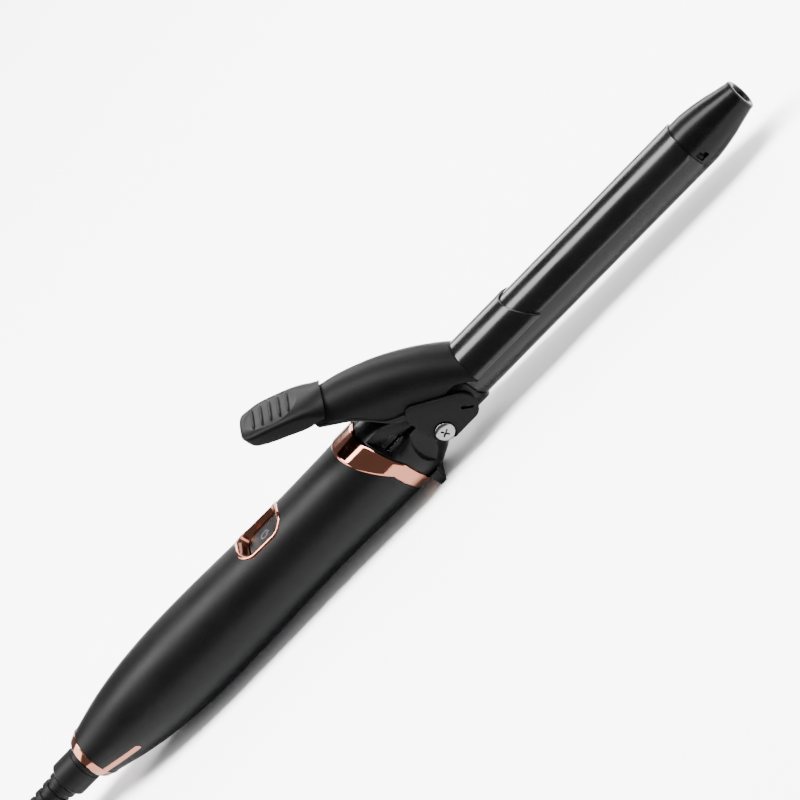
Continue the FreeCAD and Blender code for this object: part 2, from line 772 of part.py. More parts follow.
film_inside = box("film_inside", ptc_length, s.ptc_width, s.ptc_height, ptc_back, ptc_low)
keep(cut("film_wrap", film_outside, film_inside), "insulation_sleeve")
web_back = barrel_front + 1.0
web_front = web_back + s.tip_web
keep(
    turned(
        "end_plug",
        [
            (barrel_front - s.plug_depth, 1.4),
            (barrel_front - s.plug_depth, barrel_bore),
            (barrel_front, barrel_bore),
            (barrel_front, s.tip_bore + 2.6),
            (web_back, s.tip_bore + 2.6),
            (web_back, 1.4),
        ],
    ),
    "barrel_end_plug",
)
# The cool tip narrows in an ever steeper curve; each pair is a share of its length and radius.
TIP_CURVE = [
    (0.17, 1.0),
    (0.33, 0.96),
    (0.49, 0.88),
    (0.65, 0.80),
    (0.79, 0.71),
    (0.90, 0.66),
    (1.0, 0.56),
]
tip_corners = [(barrel_front, s.tip_bore + 2.6), (barrel_front, s.barrel_radius)]
for along, share in TIP_CURVE:
    tip_corners.append((barrel_front + s.tip_length * along, s.barrel_radius * share))
tip_corners += [(tip_front, s.tip_bore), (web_front, s.tip_bore), (web_front, 1.5)]
tip_corners += [(web_back, 1.5), (web_back, s.tip_bore + 2.6)]
keep(turned("tip", tip_corners), "cool_tip")
tip_shaft_back = web_front - s.tip_web - s.plug_depth
tip_shaft = cylinder("tip_shaft", 1.4, s.tip_web + s.plug_depth, tip_shaft_back, 0, s.axis_height)
tip_head = cylinder("tip_head", 2.9, 1.6, web_front, 0, s.axis_height)
keep(join("tip_screw_whole", [tip_shaft, tip_head]), "tip_screw")

# Wires: socket to board, and board to heater.
wires = []
board_front = board_back + s.board_length
rear_length = board_back - socket_front
front_length = heater_back - board_front
for label, side in (("left", -1), ("right", 1)):
    rear_y = s.rear_wire_side * side
    front_y = s.front_wire_side * side
    rear = cylinder(f"wire_rear_{label}", s.wire_radius, rear_length, socket_front, rear_y, board_z - 4.5)
    front_z = s.axis_height + 1.4
    front = cylinder(f"wire_front_{label}", s.wire_radius, front_length, board_front, front_y, front_z)
    wires += [rear, front]
keep(group("wire_group", wires), "lead_wires")
keep(cylinder("fuse", 2.0, 9.0, ring_front - 6.0, 0, s.axis_height - 5.0), "thermal_fuse")

# Clamp lever: a channel that rises behind the pivot.
LEVER_LOW_FRONT = 5.4


def arch(x, crest, half_width, low):
    """One section of the lever: upright sides and a round top."""
    centre = max(crest - half_width, low + 0.2)
    left_low = V(x, -half_width, low)
    left_high = V(x, -half_width, centre)
    right_low = V(x, half_width, low)
    right_high = V(x, half_width, centre)
    edges = [
        Part.makeLine(left_low, left_high),
        Part.Arc(left_high, V(x, 0, crest), right_high).toShape(),
        Part.makeLine(right_high, right_low),
        Part.makeLine(right_low, left_low),
    ]
    return Part.Wire(edges)


half = number(s.lever_half_width)
front_x = number(lever_front)
sleeve_r = number(clip_outer + s.sleeve_thick)
# Each station: behind the front edge, crest and lower edge above the axis, half width.
LEVER = [
    (0.0, sleeve_r, 0.2, sleeve_r),
    (5.7, 16.9, LEVER_LOW_FRONT, half - 0.05),
    (14.9, 24.0, LEVER_LOW_FRONT, half),
    (21.3, 27.9, 8.6, half),
    (26.6, 30.5, 10.6, half - 0.1),
    (30.2, 32.1, 12.8, half - 0.3),
    (35.5, 34.0, 20.2, half - 0.7),
    (41.5, 35.6, 25.6, half - 1.3),
    (47.0, 37.4, 29.6, half - 1.9),
]
wall = number(s.lever_wall)


def lever_loft(sections):
    return Part.makeLoft([arch(*section) for section in sections], True, False)


outer_sections = []
for back, crest, low, wide in LEVER:
    outer_sections.append((front_x - back, AXIS_Z + crest, wide, AXIS_Z + low))
outer = lever_loft(outer_sections)
lever_length = LEVER[-1][0]
inner_sections = []
for back, crest, low, wide in LEVER:
    skin = number(clip_outer) + 0.05
    if back == 0.0:
        inner_sections.append((front_x + 0.01, AXIS_Z + skin, skin, AXIS_Z - 1.0))
    else:
        inner_sections.append((front_x - back, AXIS_Z + crest - wall, wide - wall, AXIS_Z + low - 1.0))
inner_sections[-1] = (front_x - lever_length - 0.01,) + inner_sections[-1][1:]
inner = lever_loft(inner_sections)
clip_room = rod(clip_back - 1, clip_outer + 0.05, s.clip_overlap + 1)
neck_room = rod(pivot_x, s.neck_radius + 0.35, neck_end - pivot_x + 0.4)
channel = outer.cut(inner).cut(clip_room).cut(neck_room)
TAB = [(41.6, 32.6), (58.0, 38.2)]
tab_points = []
for back, low in TAB:
    tab_points.append((front_x - back, AXIS_Z + low))
for back, low in reversed(TAB):
    tab_points.append((front_x - back, AXIS_Z + low + 2.6))
tab = side_cut(tab_points, 6.0)
end_web = outer.common(Part.makeBox(2.0, CLEAR, CLEAR, V(front_x - lever_length, -CLEAR / 2, AXIS_Z)))
lever_shape = channel.fuse(end_web).fuse(tab)

# Thumb rest: stations are behind the lever's front edge, crest, lower face, half width.
THUMB = [
    (38.4, 36.4, 33.0, 9.7),
    (43.0, 38.3, 31.6, 10.0),
    (49.0, 40.2, 32.2, 10.1),
    (55.0, 42.6, 34.8, 10.1),
    (61.0, 45.0, 37.8, 9.9),
    (65.5, 46.2, 40.2, 8.8),
    (67.6, 46.3, 42.4, 6.6),
]


def pad_section(x, crest, low, half_width):
    """A crowned section with rounded sides."""
    shoulder = 1.4
    middle = (crest + low) / 2
    left = V(x, -half_width + 0.9, low)
    right = V(x, half_width - 0.9, low)
    left_top = V(x, -half_width + 1.9, crest - shoulder)
    right_top = V(x, half_width - 1.9, crest - shoulder)
    edges = [
        Part.makeLine(left, right),
        Part.Arc(right, V(x, half_width, middle), right_top).toShape(),
        Part.Arc(right_top, V(x, 0, crest), left_top).toShape(),
        Part.Arc(left_top, V(x, -half_width, middle), left).toShape(),
    ]
    return Part.Wire(edges)


thumb_wires = []
for back, crest, low, wide in THUMB:
    thumb_wires.append(pad_section(front_x - back, AXIS_Z + crest, AXIS_Z + low, wide))
thumb = Part.makeLoft(thumb_wires, True, False)
thumb_screw_x = front_x - 53.5
thumb_screw_z = AXIS_Z + 35.0
screw_way = Part.makeCylinder(1.25, 6.6, V(thumb_screw_x, 0, thumb_screw_z))
head_way = Part.makeCylinder(2.6, CLEAR, V(thumb_screw_x, 0, thumb_screw_z - CLEAR))
lever_space = Part.makeBox(CLEAR, CLEAR, 2 * CLEAR, V(front_x - lever_length, -CLEAR / 2, 0))
channel_space = outer.common(lever_space)
thumb_shape = thumb.cut(channel_space).cut(tab).cut(screw_way).cut(head_way)
lever_shape = lever_shape.cut(thumb.cut(tab).cut(channel_space)).cut(screw_way).cut(head_way)
for side in (-1, 1):
    eye_room = Part.makeCylinder(5.0, CLEAR, V(PX, side * 5.0, PZ), V(0, side, 0))
    lever_shape = lever_shape.cut(eye_room)
keep(made("lever_body_shape", lever_shape), "lever_body")
keep(made("thumb_rest_shape", thumb_shape), "thumb_rest")
thumb_shaft = cylinder("thumb_shaft", 1.25, 6.6, thumb_screw_x, 0, thumb_screw_z, "Z")
thumb_head = cylinder("thumb_head", 2.4, 1.4, thumb_screw_x, 0, thumb_screw_z - 1.4, "Z")
keep(join("thumb_screw_whole", [thumb_shaft, thumb_head]), "thumb_rest_screw")

# Hinge plates on both sides of the neck, turning on bushings that the pivot screws clamp.
low_edge = pivot_z - s.plate_end_radius
plate_corners = [
    (pivot_x - s.plate_end_radius, pivot_z),
    (pivot_x - s.plate_end_radius * 0.7, pivot_z - s.plate_end_radius * 0.7),
    (pivot_x, low_edge),
    (pivot_x + 12.5, low_edge),
    (pivot_x + 15.6, low_edge + 3.2),
    (pivot_x + 16.0, low_edge + 7.6),
    (pivot_x + 14.2, low_edge + 10.2),
    (pivot_x - 1.7, low_edge + 20.8),
    (pivot_x - 5.4, low_edge + 17.3),
]
bushing_reach = s.plate_inside + s.plate_thick - s.head_recess + 0.15
bushings = []
pivot_screws = []
springs = []
for side, label in ((-1, "left"), (1, "right")):
    turn_axis = "Y" if side > 0 else "-Y"
    centre_y = (s.plate_inside + s.plate_thick * 0.5) * side
    blank = plate(label + "_blank", plate_corners, s.plate_thick, centre_y)
    eye = cylinder(label + "_eye", s.bushing_radius + s.running_gap, CLEAR, pivot_x, 0, pivot_z, turn_axis)
    recess_y = (plate_outside - s.head_recess) * side
    recess = cylinder(label + "_recess", s.head_recess_radius, 5.0, pivot_x, recess_y, pivot_z, turn_axis)
    slot_y = (s.plate_inside - 1.0) * side
    slot = doc.addObject("Part::Box", label + "_slot")
    slot.setExpression("Length", "4.4")
    slot.setExpression("Width", "5")
    slot.setExpression("Height", "1.4")
    slot.Placement = FreeCAD.Placement(ORIGIN, FreeCAD.Rotation(Y_AXIS, 40))
    slot_corner_y = s.plate_inside - 1.0 if side > 0 else -s.plate_inside + 1.0 - 5.0
    bind_place(slot, pivot_x + 9.7, slot_corner_y, pivot_z + 1.7)
    keep(cut(label + "_drilled", blank, eye, recess, slot), label + "_hinge_plate")
    start_y = (s.neck_radius - 0.4) * side
    length = bushing_reach - s.neck_radius + 0.4
    at_pivot = (pivot_x, start_y, pivot_z, turn_axis)
    sleeve_out = cylinder(label + "_bushing_out", s.bushing_radius, length, *at_pivot)
    sleeve_in = cylinder(label + "_bushing_in", s.screw_radius, length, *at_pivot)
    bushings.append(cut(label + "_bushing", sleeve_out, sleeve_in))
    head_y = bushing_reach * side
    head = cylinder(label + "_head", s.screw_head_radius, s.screw_head, pivot_x, head_y, pivot_z, turn_axis)
    shaft_start = (s.spring_pocket - 0.8) * side
    shaft_length = bushing_reach - s.spring_pocket + 0.8
    at_shaft = (pivot_x, shaft_start, pivot_z, turn_axis)
    shaft = cylinder(label + "_shaft", s.screw_radius, shaft_length, *at_shaft)
    pivot_screws.append(join(label + "_pivot_screw", [shaft, head]))
    coil_length = s.neck_radius - 0.7 - s.spring_pocket
    at_coil = (pivot_x, (s.spring_pocket + 0.3) * side, pivot_z, turn_axis)
    coil_out = cylinder(label + "_coil_out", s.spring_outside, coil_length, *at_coil)
    coil_in = cylinder(label + "_coil_in", s.spring_inside, coil_length, *at_coil)
    coil = cut(label + "_coil", coil_out, coil_in)
    leg_start = (s.neck_radius - 1.4) * side
    leg_length = s.plate_inside - s.neck_radius + 1.4
    leg_x = pivot_x + (s.spring_outside + s.spring_inside) * 0.5
    leg = cylinder(label + "_leg", 0.6, leg_length, leg_x, leg_start, pivot_z, turn_axis)
    springs.append(join(label + "_spring", [coil, leg]))
keep(group("bushing_group", bushings), "pivot_bushings")
keep(group("pivot_screw_group", pivot_screws), "pivot_screws")
keep(group("spring_group", springs), "torsion_springs")


# Clip: a long curved tongue over the barrel and a raised sleeve at its root.
def wrapped(radius_in, radius_out, start, end, half_angle):
    """Part of a tube about the barrel's axis, symmetric about its top."""
    ring = Part.makeCylinder(radius_out, end - start, V(0, 0, 0), Z_AXIS, 2 * half_angle)
    ring = ring.cut(Part.makeCylinder(radius_in, end - start, V(0, 0, 0), Z_AXIS))
    turn = FreeCAD.Rotation(Y_AXIS, 90).multiply(FreeCAD.Rotation(Z_AXIS, 180 - half_angle))
    ring.Placement = FreeCAD.Placement(V(start, 0, AXIS_Z), turn)
    return ring


clip_half = number(s.clip_angle)
tongue = wrapped(number(clip_inner), number(clip_outer), number(clip_back), number(barrel_front), clip_half)
# The tongue's lower back corners are cut off, so that they swing clear of the neck.
back_x = number(clip_back)
corner_room = side_cut(
    [
        (back_x - 1, AXIS_Z - CLEAR),
        (back_x + 2.2, AXIS_Z - CLEAR),
        (back_x + 2.2, AXIS_Z + 4.5),
        (back_x - 1, AXIS_Z + 8.5),
    ]
)
tongue = tongue.cut(corner_room)
sleeve_front = front_x + number(s.sleeve_length)
sleeve_sweep = number(s.sleeve_sweep)
sleeve_long = wrapped(number(clip_outer), sleeve_r, front_x, sleeve_front + sleeve_sweep, clip_half + 4)
lean = sleeve_sweep / sleeve_r
sleeve_side = [
    (front_x - 1, AXIS_Z - CLEAR / 2),
    (sleeve_front + sleeve_sweep + lean * CLEAR / 2, AXIS_Z - CLEAR / 2),
    (sleeve_front + sleeve_sweep - lean * CLEAR / 2, AXIS_Z + CLEAR / 2),
    (front_x - 1, AXIS_Z + CLEAR / 2),
]
sleeve = sleeve_long.common(side_cut(sleeve_side))
rivet_x = [front_x - 1.7, front_x + 6.0, front_x + 16.0]
rivet_length = sleeve_r - number(clip_inner) - 0.3
rivet_ways = []
for x in rivet_x:
    way_low = V(x, 0, AXIS_Z + number(clip_inner) - 0.01)
    rivet_ways.append(Part.makeCylinder(1.2, rivet_length + 0.02, way_low))
for way in rivet_ways:
    tongue = tongue.cut(way)
    sleeve = sleeve.cut(way)
keep(made("clip_tongue_shape", tongue), "clip_tongue")
keep(made("clip_sleeve_shape", sleeve), "clip_sleeve")
lever_piece = next(thing for thing in pieces if thing.Label == "lever_body")
lever_piece.Shape = lever_piece.Shape.cut(rivet_ways[0])
rivets = []
for index, x in enumerate(rivet_x):
    low = s.axis_height + clip_inner + 0.05
    rivets.append(cylinder(f"rivet{index}", 1.2, rivet_length - 0.05, x, 0, low, "Z"))
keep(group("rivet_group", rivets), "clip_rivets")

# Cord: out of its guard into a hank of the stored length, and from the hank's foot to the plug.
CORD_R = number(cord_radius)
GUARD_BACK = number(relief_back)
HANK_NEAR = GUARD_BACK - number(s.hank_behind)
HANK_FAR = HANK_NEAR - number(s.hank_run)
HANK_TOP = number(s.hank_height)
# The hank is two cords wide; its outer runs lie this far from the axis.
OUTER_RUN = number(s.hank_fold) + 2 * CORD_R - number(s.hank_aside)
PLUG_Y = number(s.belly_radius) - number(s.plug_width) / 2
PLUG_Z = number(s.plug_height) / 2
LEAD = [
    V(GUARD_BACK + 14.0, 0, AXIS_Z),
    V(GUARD_BACK - 6.0, 0, AXIS_Z),
    V(GUARD_BACK - 26.3, OUTER_RUN, HANK_TOP - CORD_R - 0.2),
    V(GUARD_BACK - 47.3, OUTER_RUN, HANK_TOP - CORD_R),
]
TAIL = [
    V(HANK_FAR + 22.5, OUTER_RUN, CORD_R),
    V(HANK_FAR + 4.0, OUTER_RUN, CORD_R),
    V(HANK_FAR - 12.0, PLUG_Y, PLUG_Z - 0.4),
    V(HANK_FAR - 30.0, PLUG_Y, PLUG_Z),
]


def cord_tube(points, name):
    """Straight runs joined by arcs as large as the runs allow."""
    edges = []
    at = points[0]
    total = 0.0
    for index in range(1, len(points) - 1):
        before = points[index] - points[index - 1]
        after = points[index + 1] - points[index]
        turn = before.getAngle(after)
        shorter = min(before.Length, after.Length)
        reach = 0.45 * shorter
        radius = reach / math.tan(turn / 2)
        print(f"{name} arc {index}: radius {radius:.1f} mm, turn {math.degrees(turn):.0f} degrees")
        start = points[index] - before.normalize() * reach
        end = points[index] + after.normalize() * reach
        bisector = (start + end) * 0.5 - points[index]
        to_centre = math.hypot(radius, reach)
        middle = points[index] + bisector.normalize() * (to_centre - radius)
        edges.append(Part.LineSegment(at, start).toShape())
        edges.append(Part.Arc(start, middle, end).toShape())
        total += (start - at).Length + radius * turn
        at = end
    edges.append(Part.LineSegment(at, points[-1]).toShape())
    total += (points[-1] - at).Length
    path = Part.Wire(edges)
    ring = Part.Wire([Part.makeCircle(CORD_R, points[0], points[1] - points[0])])
    tube = path.makePipeShell([ring], True, True)
    share = tube.Volume / (math.pi * CORD_R**2 * total)
    print(f"{name}: {total:.1f} mm long, volume over section times length {share:.4f}")
    return tube


keep(made("cord_lead_shape", cord_tube(LEAD, "lead")), "cord_lead")
keep(made("cord_tail_shape", cord_tube(TAIL, "tail")), "cord_tail")


def hank_block(name, radius, low, height):
    """A block with round ends that spans both folds of the hank."""
    near = relief_back - s.hank_behind
    far = near - s.hank_run
    middle = -s.hank_aside
    near_end = cylinder(name + "_near", radius, height, near, middle, low, "Z")
    far_end = cylinder(name + "_far", radius, height, far, middle, low, "Z")
    runs = box(name + "_runs", s.hank_run, as_size(radius) * 2, height, far, low, middle)
    return join(name, [near_end, far_end, runs])


hank_outside = hank_block("hank_outside", s.hank_fold + cord_radius * 3, 0, s.hank_height)
hank_inside = hank_block("hank_inside", s.hank_fold - cord_radius, -1, s.hank_height + 2)
keep(cut("hank_whole", hank_outside, hank_inside), "cord_coil")

# A strap round the hank's outer run holds it together.
STRAP_THICK = 0.8
STRAP_WIDE = 8.0
STRAP_PLAY = 0.05
strap_room = s.cord_diameter * 2 + STRAP_PLAY * 2
strap_across = strap_room + STRAP_THICK * 2
strap_top = s.hank_height + STRAP_PLAY
strap_y = -s.hank_aside - s.hank_fold - cord_radius
strap_x = relief_back - s.hank_behind - s.hank_run * 0.5 - STRAP_WIDE / 2
strap_out = box("strap_outside", STRAP_WIDE, strap_across, strap_top + STRAP_THICK, strap_x, 0, strap_y)
strap_in = box("strap_inside", STRAP_WIDE + 1, strap_room, strap_top, strap_x - 0.5, 0, strap_y)
keep(cut("strap_whole", strap_out, strap_in), "cord_tie")

# Plug: a generic flat two-pin plug that lies on the table behind the hank.
nose_x = HANK_FAR - 25.0
body_x = nose_x - number(s.plug_nose) - number(s.plug_length)
plug_corner = V(body_x, PLUG_Y - number(s.plug_width) / 2, 0)
plug = Part.makeBox(number(s.plug_length), number(s.plug_width), number(s.plug_height), plug_corner)
long_edges = [edge for edge in plug.Edges if abs(edge.tangentAt(edge.FirstParameter).x) > 0.9]
plug = plug.makeFillet(3.0, long_edges)
nose = Part.makeCone(4.0, 6.4, number(s.plug_nose), V(nose_x, PLUG_Y, PLUG_Z), V(-1, 0, 0))
keep(made("plug_body_shape", plug.fuse(nose)), "plug_body")
pins = []
pin_x = as_size(body_x) - s.pin_length
pin_z = s.plug_height * 0.5
for index, side in enumerate((-1, 1)):
    pin_y = s.pin_spacing * (0.5 * side) + PLUG_Y
    pins.append(cylinder(f"plug_pin{index}", s.pin_radius, s.pin_length, pin_x, pin_y, pin_z))
keep(group("pin_group", pins), "plug_pins")

doc.recompute()
for thing in doc.Objects:
    if "Invalid" in thing.State or "Error" in thing.State:
        raise RuntimeError(f"{thing.Name} is {thing.State}")
os.makedirs("parts", exist_ok=True)
for thing in pieces:
    shape = thing.Shape
    if shape.isNull() or not shape.isValid():
        raise RuntimeError(f"{thing.Label} has no valid shape")
    shape.exportStep(f"parts/{thing.Label}.step")
    print(f"{thing.Label}: {len(shape.Solids)} solids, {shape.Volume:.1f} mm3")
print(f"{len(pieces)} nodes written")
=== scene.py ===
"""Looks of a slim curling iron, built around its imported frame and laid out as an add-on."""
import math

import bmesh
import bpy
from mathutils import Matrix, Vector


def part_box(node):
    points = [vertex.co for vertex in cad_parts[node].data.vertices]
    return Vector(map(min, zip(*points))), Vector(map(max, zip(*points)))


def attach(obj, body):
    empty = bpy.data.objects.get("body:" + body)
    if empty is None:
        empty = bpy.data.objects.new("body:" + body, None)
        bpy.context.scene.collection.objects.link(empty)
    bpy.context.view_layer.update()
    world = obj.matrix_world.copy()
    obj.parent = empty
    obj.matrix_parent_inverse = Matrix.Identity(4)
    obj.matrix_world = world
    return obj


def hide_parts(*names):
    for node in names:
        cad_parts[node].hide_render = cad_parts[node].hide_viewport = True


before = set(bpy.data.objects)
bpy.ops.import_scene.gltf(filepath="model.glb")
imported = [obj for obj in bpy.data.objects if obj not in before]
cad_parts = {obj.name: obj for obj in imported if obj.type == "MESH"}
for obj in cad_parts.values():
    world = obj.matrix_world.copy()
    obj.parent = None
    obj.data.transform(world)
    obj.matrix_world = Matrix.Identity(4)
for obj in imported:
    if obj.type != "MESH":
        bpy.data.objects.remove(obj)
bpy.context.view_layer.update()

bl_info = {
    "name": "Curling iron",
    "version": (1, 0, 0),
    "blender": (4, 5, 0),
    "location": "3D View > Sidebar > Iron",
    "description": "Makes the visible pieces of a slim curling iron with a clamp lever",
    "category": "Add Mesh",
}

MM = 0.001


def low(node):
    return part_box(node)[0]


def high(node):
    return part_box(node)[1]


# Places that the pieces share, read from the frame. X runs along the barrel, Z up.
BARREL_R = (high("barrel").z - low("barrel").z) / 2
AXIS_Z = (high("barrel").z + low("barrel").z) / 2
BARREL_BACK = low("barrel").x
BARREL_FRONT = high("barrel").x
TIP_FRONT = high("cool_tip").x
HANDLE_BACK = low("handle_lower_shell").x
RING_BACK = high("handle_lower_shell").x
RING_FRONT = high("front_trim_ring").x
LEVER_FRONT = high("lever_body").x
PIVOT_X = (high("pivot_screws").x + low("pivot_screws").x) / 2
PIVOT_Z = (high("pivot_screws").z + low("pivot_screws").z) / 2
PLATE_OUT = high("right_hinge_plate").y
PLATE_IN = low("right_hinge_plate").y
BUTTON_X = (high("power_button").x + low("power_button").x) / 2
BUTTON_TOP = high("power_button").z
COLLAR_BACK = low("swivel_collar").x
RELIEF_BACK = low("strain_relief").x


def length_property(name, description, default):
    """A length that a user may change."""
    return bpy.props.FloatProperty(name=name, description=description, default=default, unit="LENGTH")


def colour_property(name, description, *default):
    """A colour that a user may change."""
    return bpy.props.FloatVectorProperty(
        name=name, description=description, subtype="COLOR", default=default
    )


class IRON_PG_sizes(bpy.types.PropertyGroup):
    """Sizes that a user may change."""

    rib_count: bpy.props.IntProperty(
        name="Thumb ribs", description="Raised ribs across the thumb rest", default=5, min=1, max=9
    )
    rib_pitch: length_property("Rib pitch", "From one rib to the next", 0.0031)
    ring_slant_back: length_property(
        "Ring slant, back", "How far the ring's back edge leans at the top", 0.0112
    )
    ring_slant_front: length_property(
        "Ring slant, front", "How far the ring's front edge leans at the top", 0.0063
    )
    cord_length: length_property("Cord length", "From the guard to the plug", 1.8)
    cord_diameter: length_property("Cord diameter", "Outside of the cord", 0.0056)


class IRON_PG_colours(bpy.types.PropertyGroup):
    """Colours that a user may change."""

    soft_black: colour_property("Handle", "Soft-touch coat of the handle", 0.0010, 0.0010, 0.0011)
    moulded_black: colour_property("Mouldings", "Lever, housing and tip", 0.0009, 0.0009, 0.0010)
    rose_gold: colour_property("Plating", "Rings and button surround", 0.21, 0.082, 0.054)
    barrel_black: colour_property("Barrel", "Ceramic coat of barrel and clip", 0.0009, 0.0009, 0.0010)
    floor: colour_property("Floor", "Studio floor", 0.92, 0.92, 0.92)


# ---- Materials ------------------------------------------------------------------------------


def new_group(name, kind, inputs, outputs):
    """An empty node group with these inputs (name, kind, value) and outputs (name, kind)."""
    tree = bpy.data.node_groups.new(name, kind)
    sockets = [("INPUT", *item) for item in inputs] + [("OUTPUT", *item, None) for item in outputs]
    for way, label, socket_kind, value in sockets:
        socket = tree.interface.new_socket(
            name=label, in_out=way, socket_type="NodeSocket" + socket_kind
        )
        if value is not None:
            socket.default_value = value
    return tree


def join(tree, *links):
    """Link nodes; each link says a node, its output, the next node and its input."""
    for source, way_out, target, way_in in links:
        tree.links.new(source.outputs[way_out], target.inputs[way_in])


def set_inputs(node, values):
    """Give a node's inputs their values, by the inputs' names."""
    for name, value in values.items():
        node.inputs[name].default_value = value


def moulded_group():
    """Grain, uneven shade and worn edges, shared by every moulded, coated or plated surface."""
    name = "Moulded surface"
    if name in bpy.data.node_groups:
        return bpy.data.node_groups[name]
    tree = new_group(
        name,
        "ShaderNodeTree",
        (
            ("Colour", "Color", (0.5, 0.5, 0.5, 1)),
            ("Worn colour", "Color", (0.6, 0.6, 0.6, 1)),
            ("Shade spread", "Float", 0.15),
            ("Roughness", "Float", 0.4),
            ("Roughness spread", "Float", 0.05),
            ("Grain per metre", "Float", 3000.0),
            ("Cloud per metre", "Float", 60.0),
            ("Edge wear", "Float", 0.2),
        ),
        (("Colour", "Color"), ("Roughness", "Float"), ("Height", "Float")),
    )
    node = tree.nodes.new
    given = node("NodeGroupInput")
    result = node("NodeGroupOutput")
    place = node("ShaderNodeTexCoord")
    grain = node("ShaderNodeTexNoise")
    cloud = node("ShaderNodeTexNoise")
    spread_out = node("ShaderNodeMapRange")
    set_inputs(grain, {"Detail": 3.0})
    set_inputs(cloud, {"Detail": 4.0})
    set_inputs(spread_out, {"From Min": 0.3, "From Max": 0.7, "To Min": -1.0, "To Max": 1.0})
    join(
        tree,
        (place, "Object", grain, "Vector"),
        (place, "Object", cloud, "Vector"),
        (given, "Grain per metre", grain, "Scale"),
        (given, "Cloud per metre", cloud, "Scale"),
        (cloud, "Fac", spread_out, "Value"),
    )

    def math_node(kind, first, second):
        step = node("ShaderNodeMath")
        step.operation = kind
        for index, value in enumerate((first, second)):
            if isinstance(value, (int, float)):
                step.inputs[index].default_value = value
            else:
                tree.links.new(value, step.inputs[index])
        return step.outputs[0]

    shade = math_node("MULTIPLY", spread_out.outputs[0], given.outputs["Shade spread"])
    shade = math_node("ADD", shade, 1.0)
    tinted = node("ShaderNodeVectorMath")
    tinted.operation = "SCALE"
    bend = node("ShaderNodeNewGeometry")
    edge = node("ShaderNodeMapRange")
    set_inputs(edge, {"From Min": 0.53, "From Max": 0.62})
    broken = math_node("MULTIPLY", edge.outputs[0], grain.outputs["Fac"])
    wear = math_node("MULTIPLY", broken, given.outputs["Edge wear"])
    mix = node("ShaderNodeMix")
    mix.data_type = "RGBA"
    rough = math_node("MULTIPLY", spread_out.outputs[0], given.outputs["Roughness spread"])
    rough = math_node("ADD", rough, given.outputs["Roughness"])
    tree.links.new(shade, tinted.inputs["Scale"])
    tree.links.new(wear, mix.inputs[0])
    tree.links.new(rough, result.inputs["Roughness"])
    join(
        tree,
        (given, "Colour", tinted, 0),
        (bend, "Pointiness", edge, "Value"),
        (tinted, 0, mix, 6),
        (given, "Worn colour", mix, 7),
        (mix, 2, result, "Colour"),
        (grain, "Fac", result, "Height"),
    )
    return tree


COAT_ROUGHNESS = 0.1


def finish_of(
    name,
    colour,
    roughness,
    metallic=0.0,
    worn=None,
    shade=0.12,
    rough_spread=0.04,
    grain=3000.0,
    cloud=60.0,
    wear=0.15,
    bump=0.00002,
    strength=0.3,
    coat=0.0,
    specular=0.06,
):
    """A material with grain, uneven shade and wear, made once for each name."""
    if name in bpy.data.materials:
        return bpy.data.materials[name]
    made = bpy.data.materials.new(name)
    made.use_nodes = True
    nodes = made.node_tree.nodes
    shader = nodes["Principled BSDF"]
    surface = nodes.new("ShaderNodeGroup")
    surface.node_tree = moulded_group()
    worn = worn or [min(1.0, v * 2.5 + 0.004) for v in colour]
    set_inputs(
        surface,
        {
            "Colour": (*colour, 1),
            "Worn colour": (*worn, 1),
            "Shade spread": shade,
            "Roughness": roughness,
            "Roughness spread": rough_spread,
            "Grain per metre": grain,
            "Cloud per metre": cloud,
            "Edge wear": wear,
        },
    )
    relief = nodes.new("ShaderNodeBump")
    set_inputs(relief, {"Strength": strength, "Distance": bump})
    join(
        made.node_tree,
        (surface, "Colour", shader, "Base Color"),
        (surface, "Roughness", shader, "Roughness"),
        (surface, "Height", relief, "Height"),
        (relief, "Normal", shader, "Normal"),
    )
    set_inputs(shader, {"Metallic": metallic, "Coat Weight": coat, "Coat Roughness": COAT_ROUGHNESS})
    set_inputs(shader, {"Specular IOR Level": specular})
    return made


def colours():
    return bpy.context.scene.iron_colours


def sizes():
    return bpy.context.scene.iron_sizes


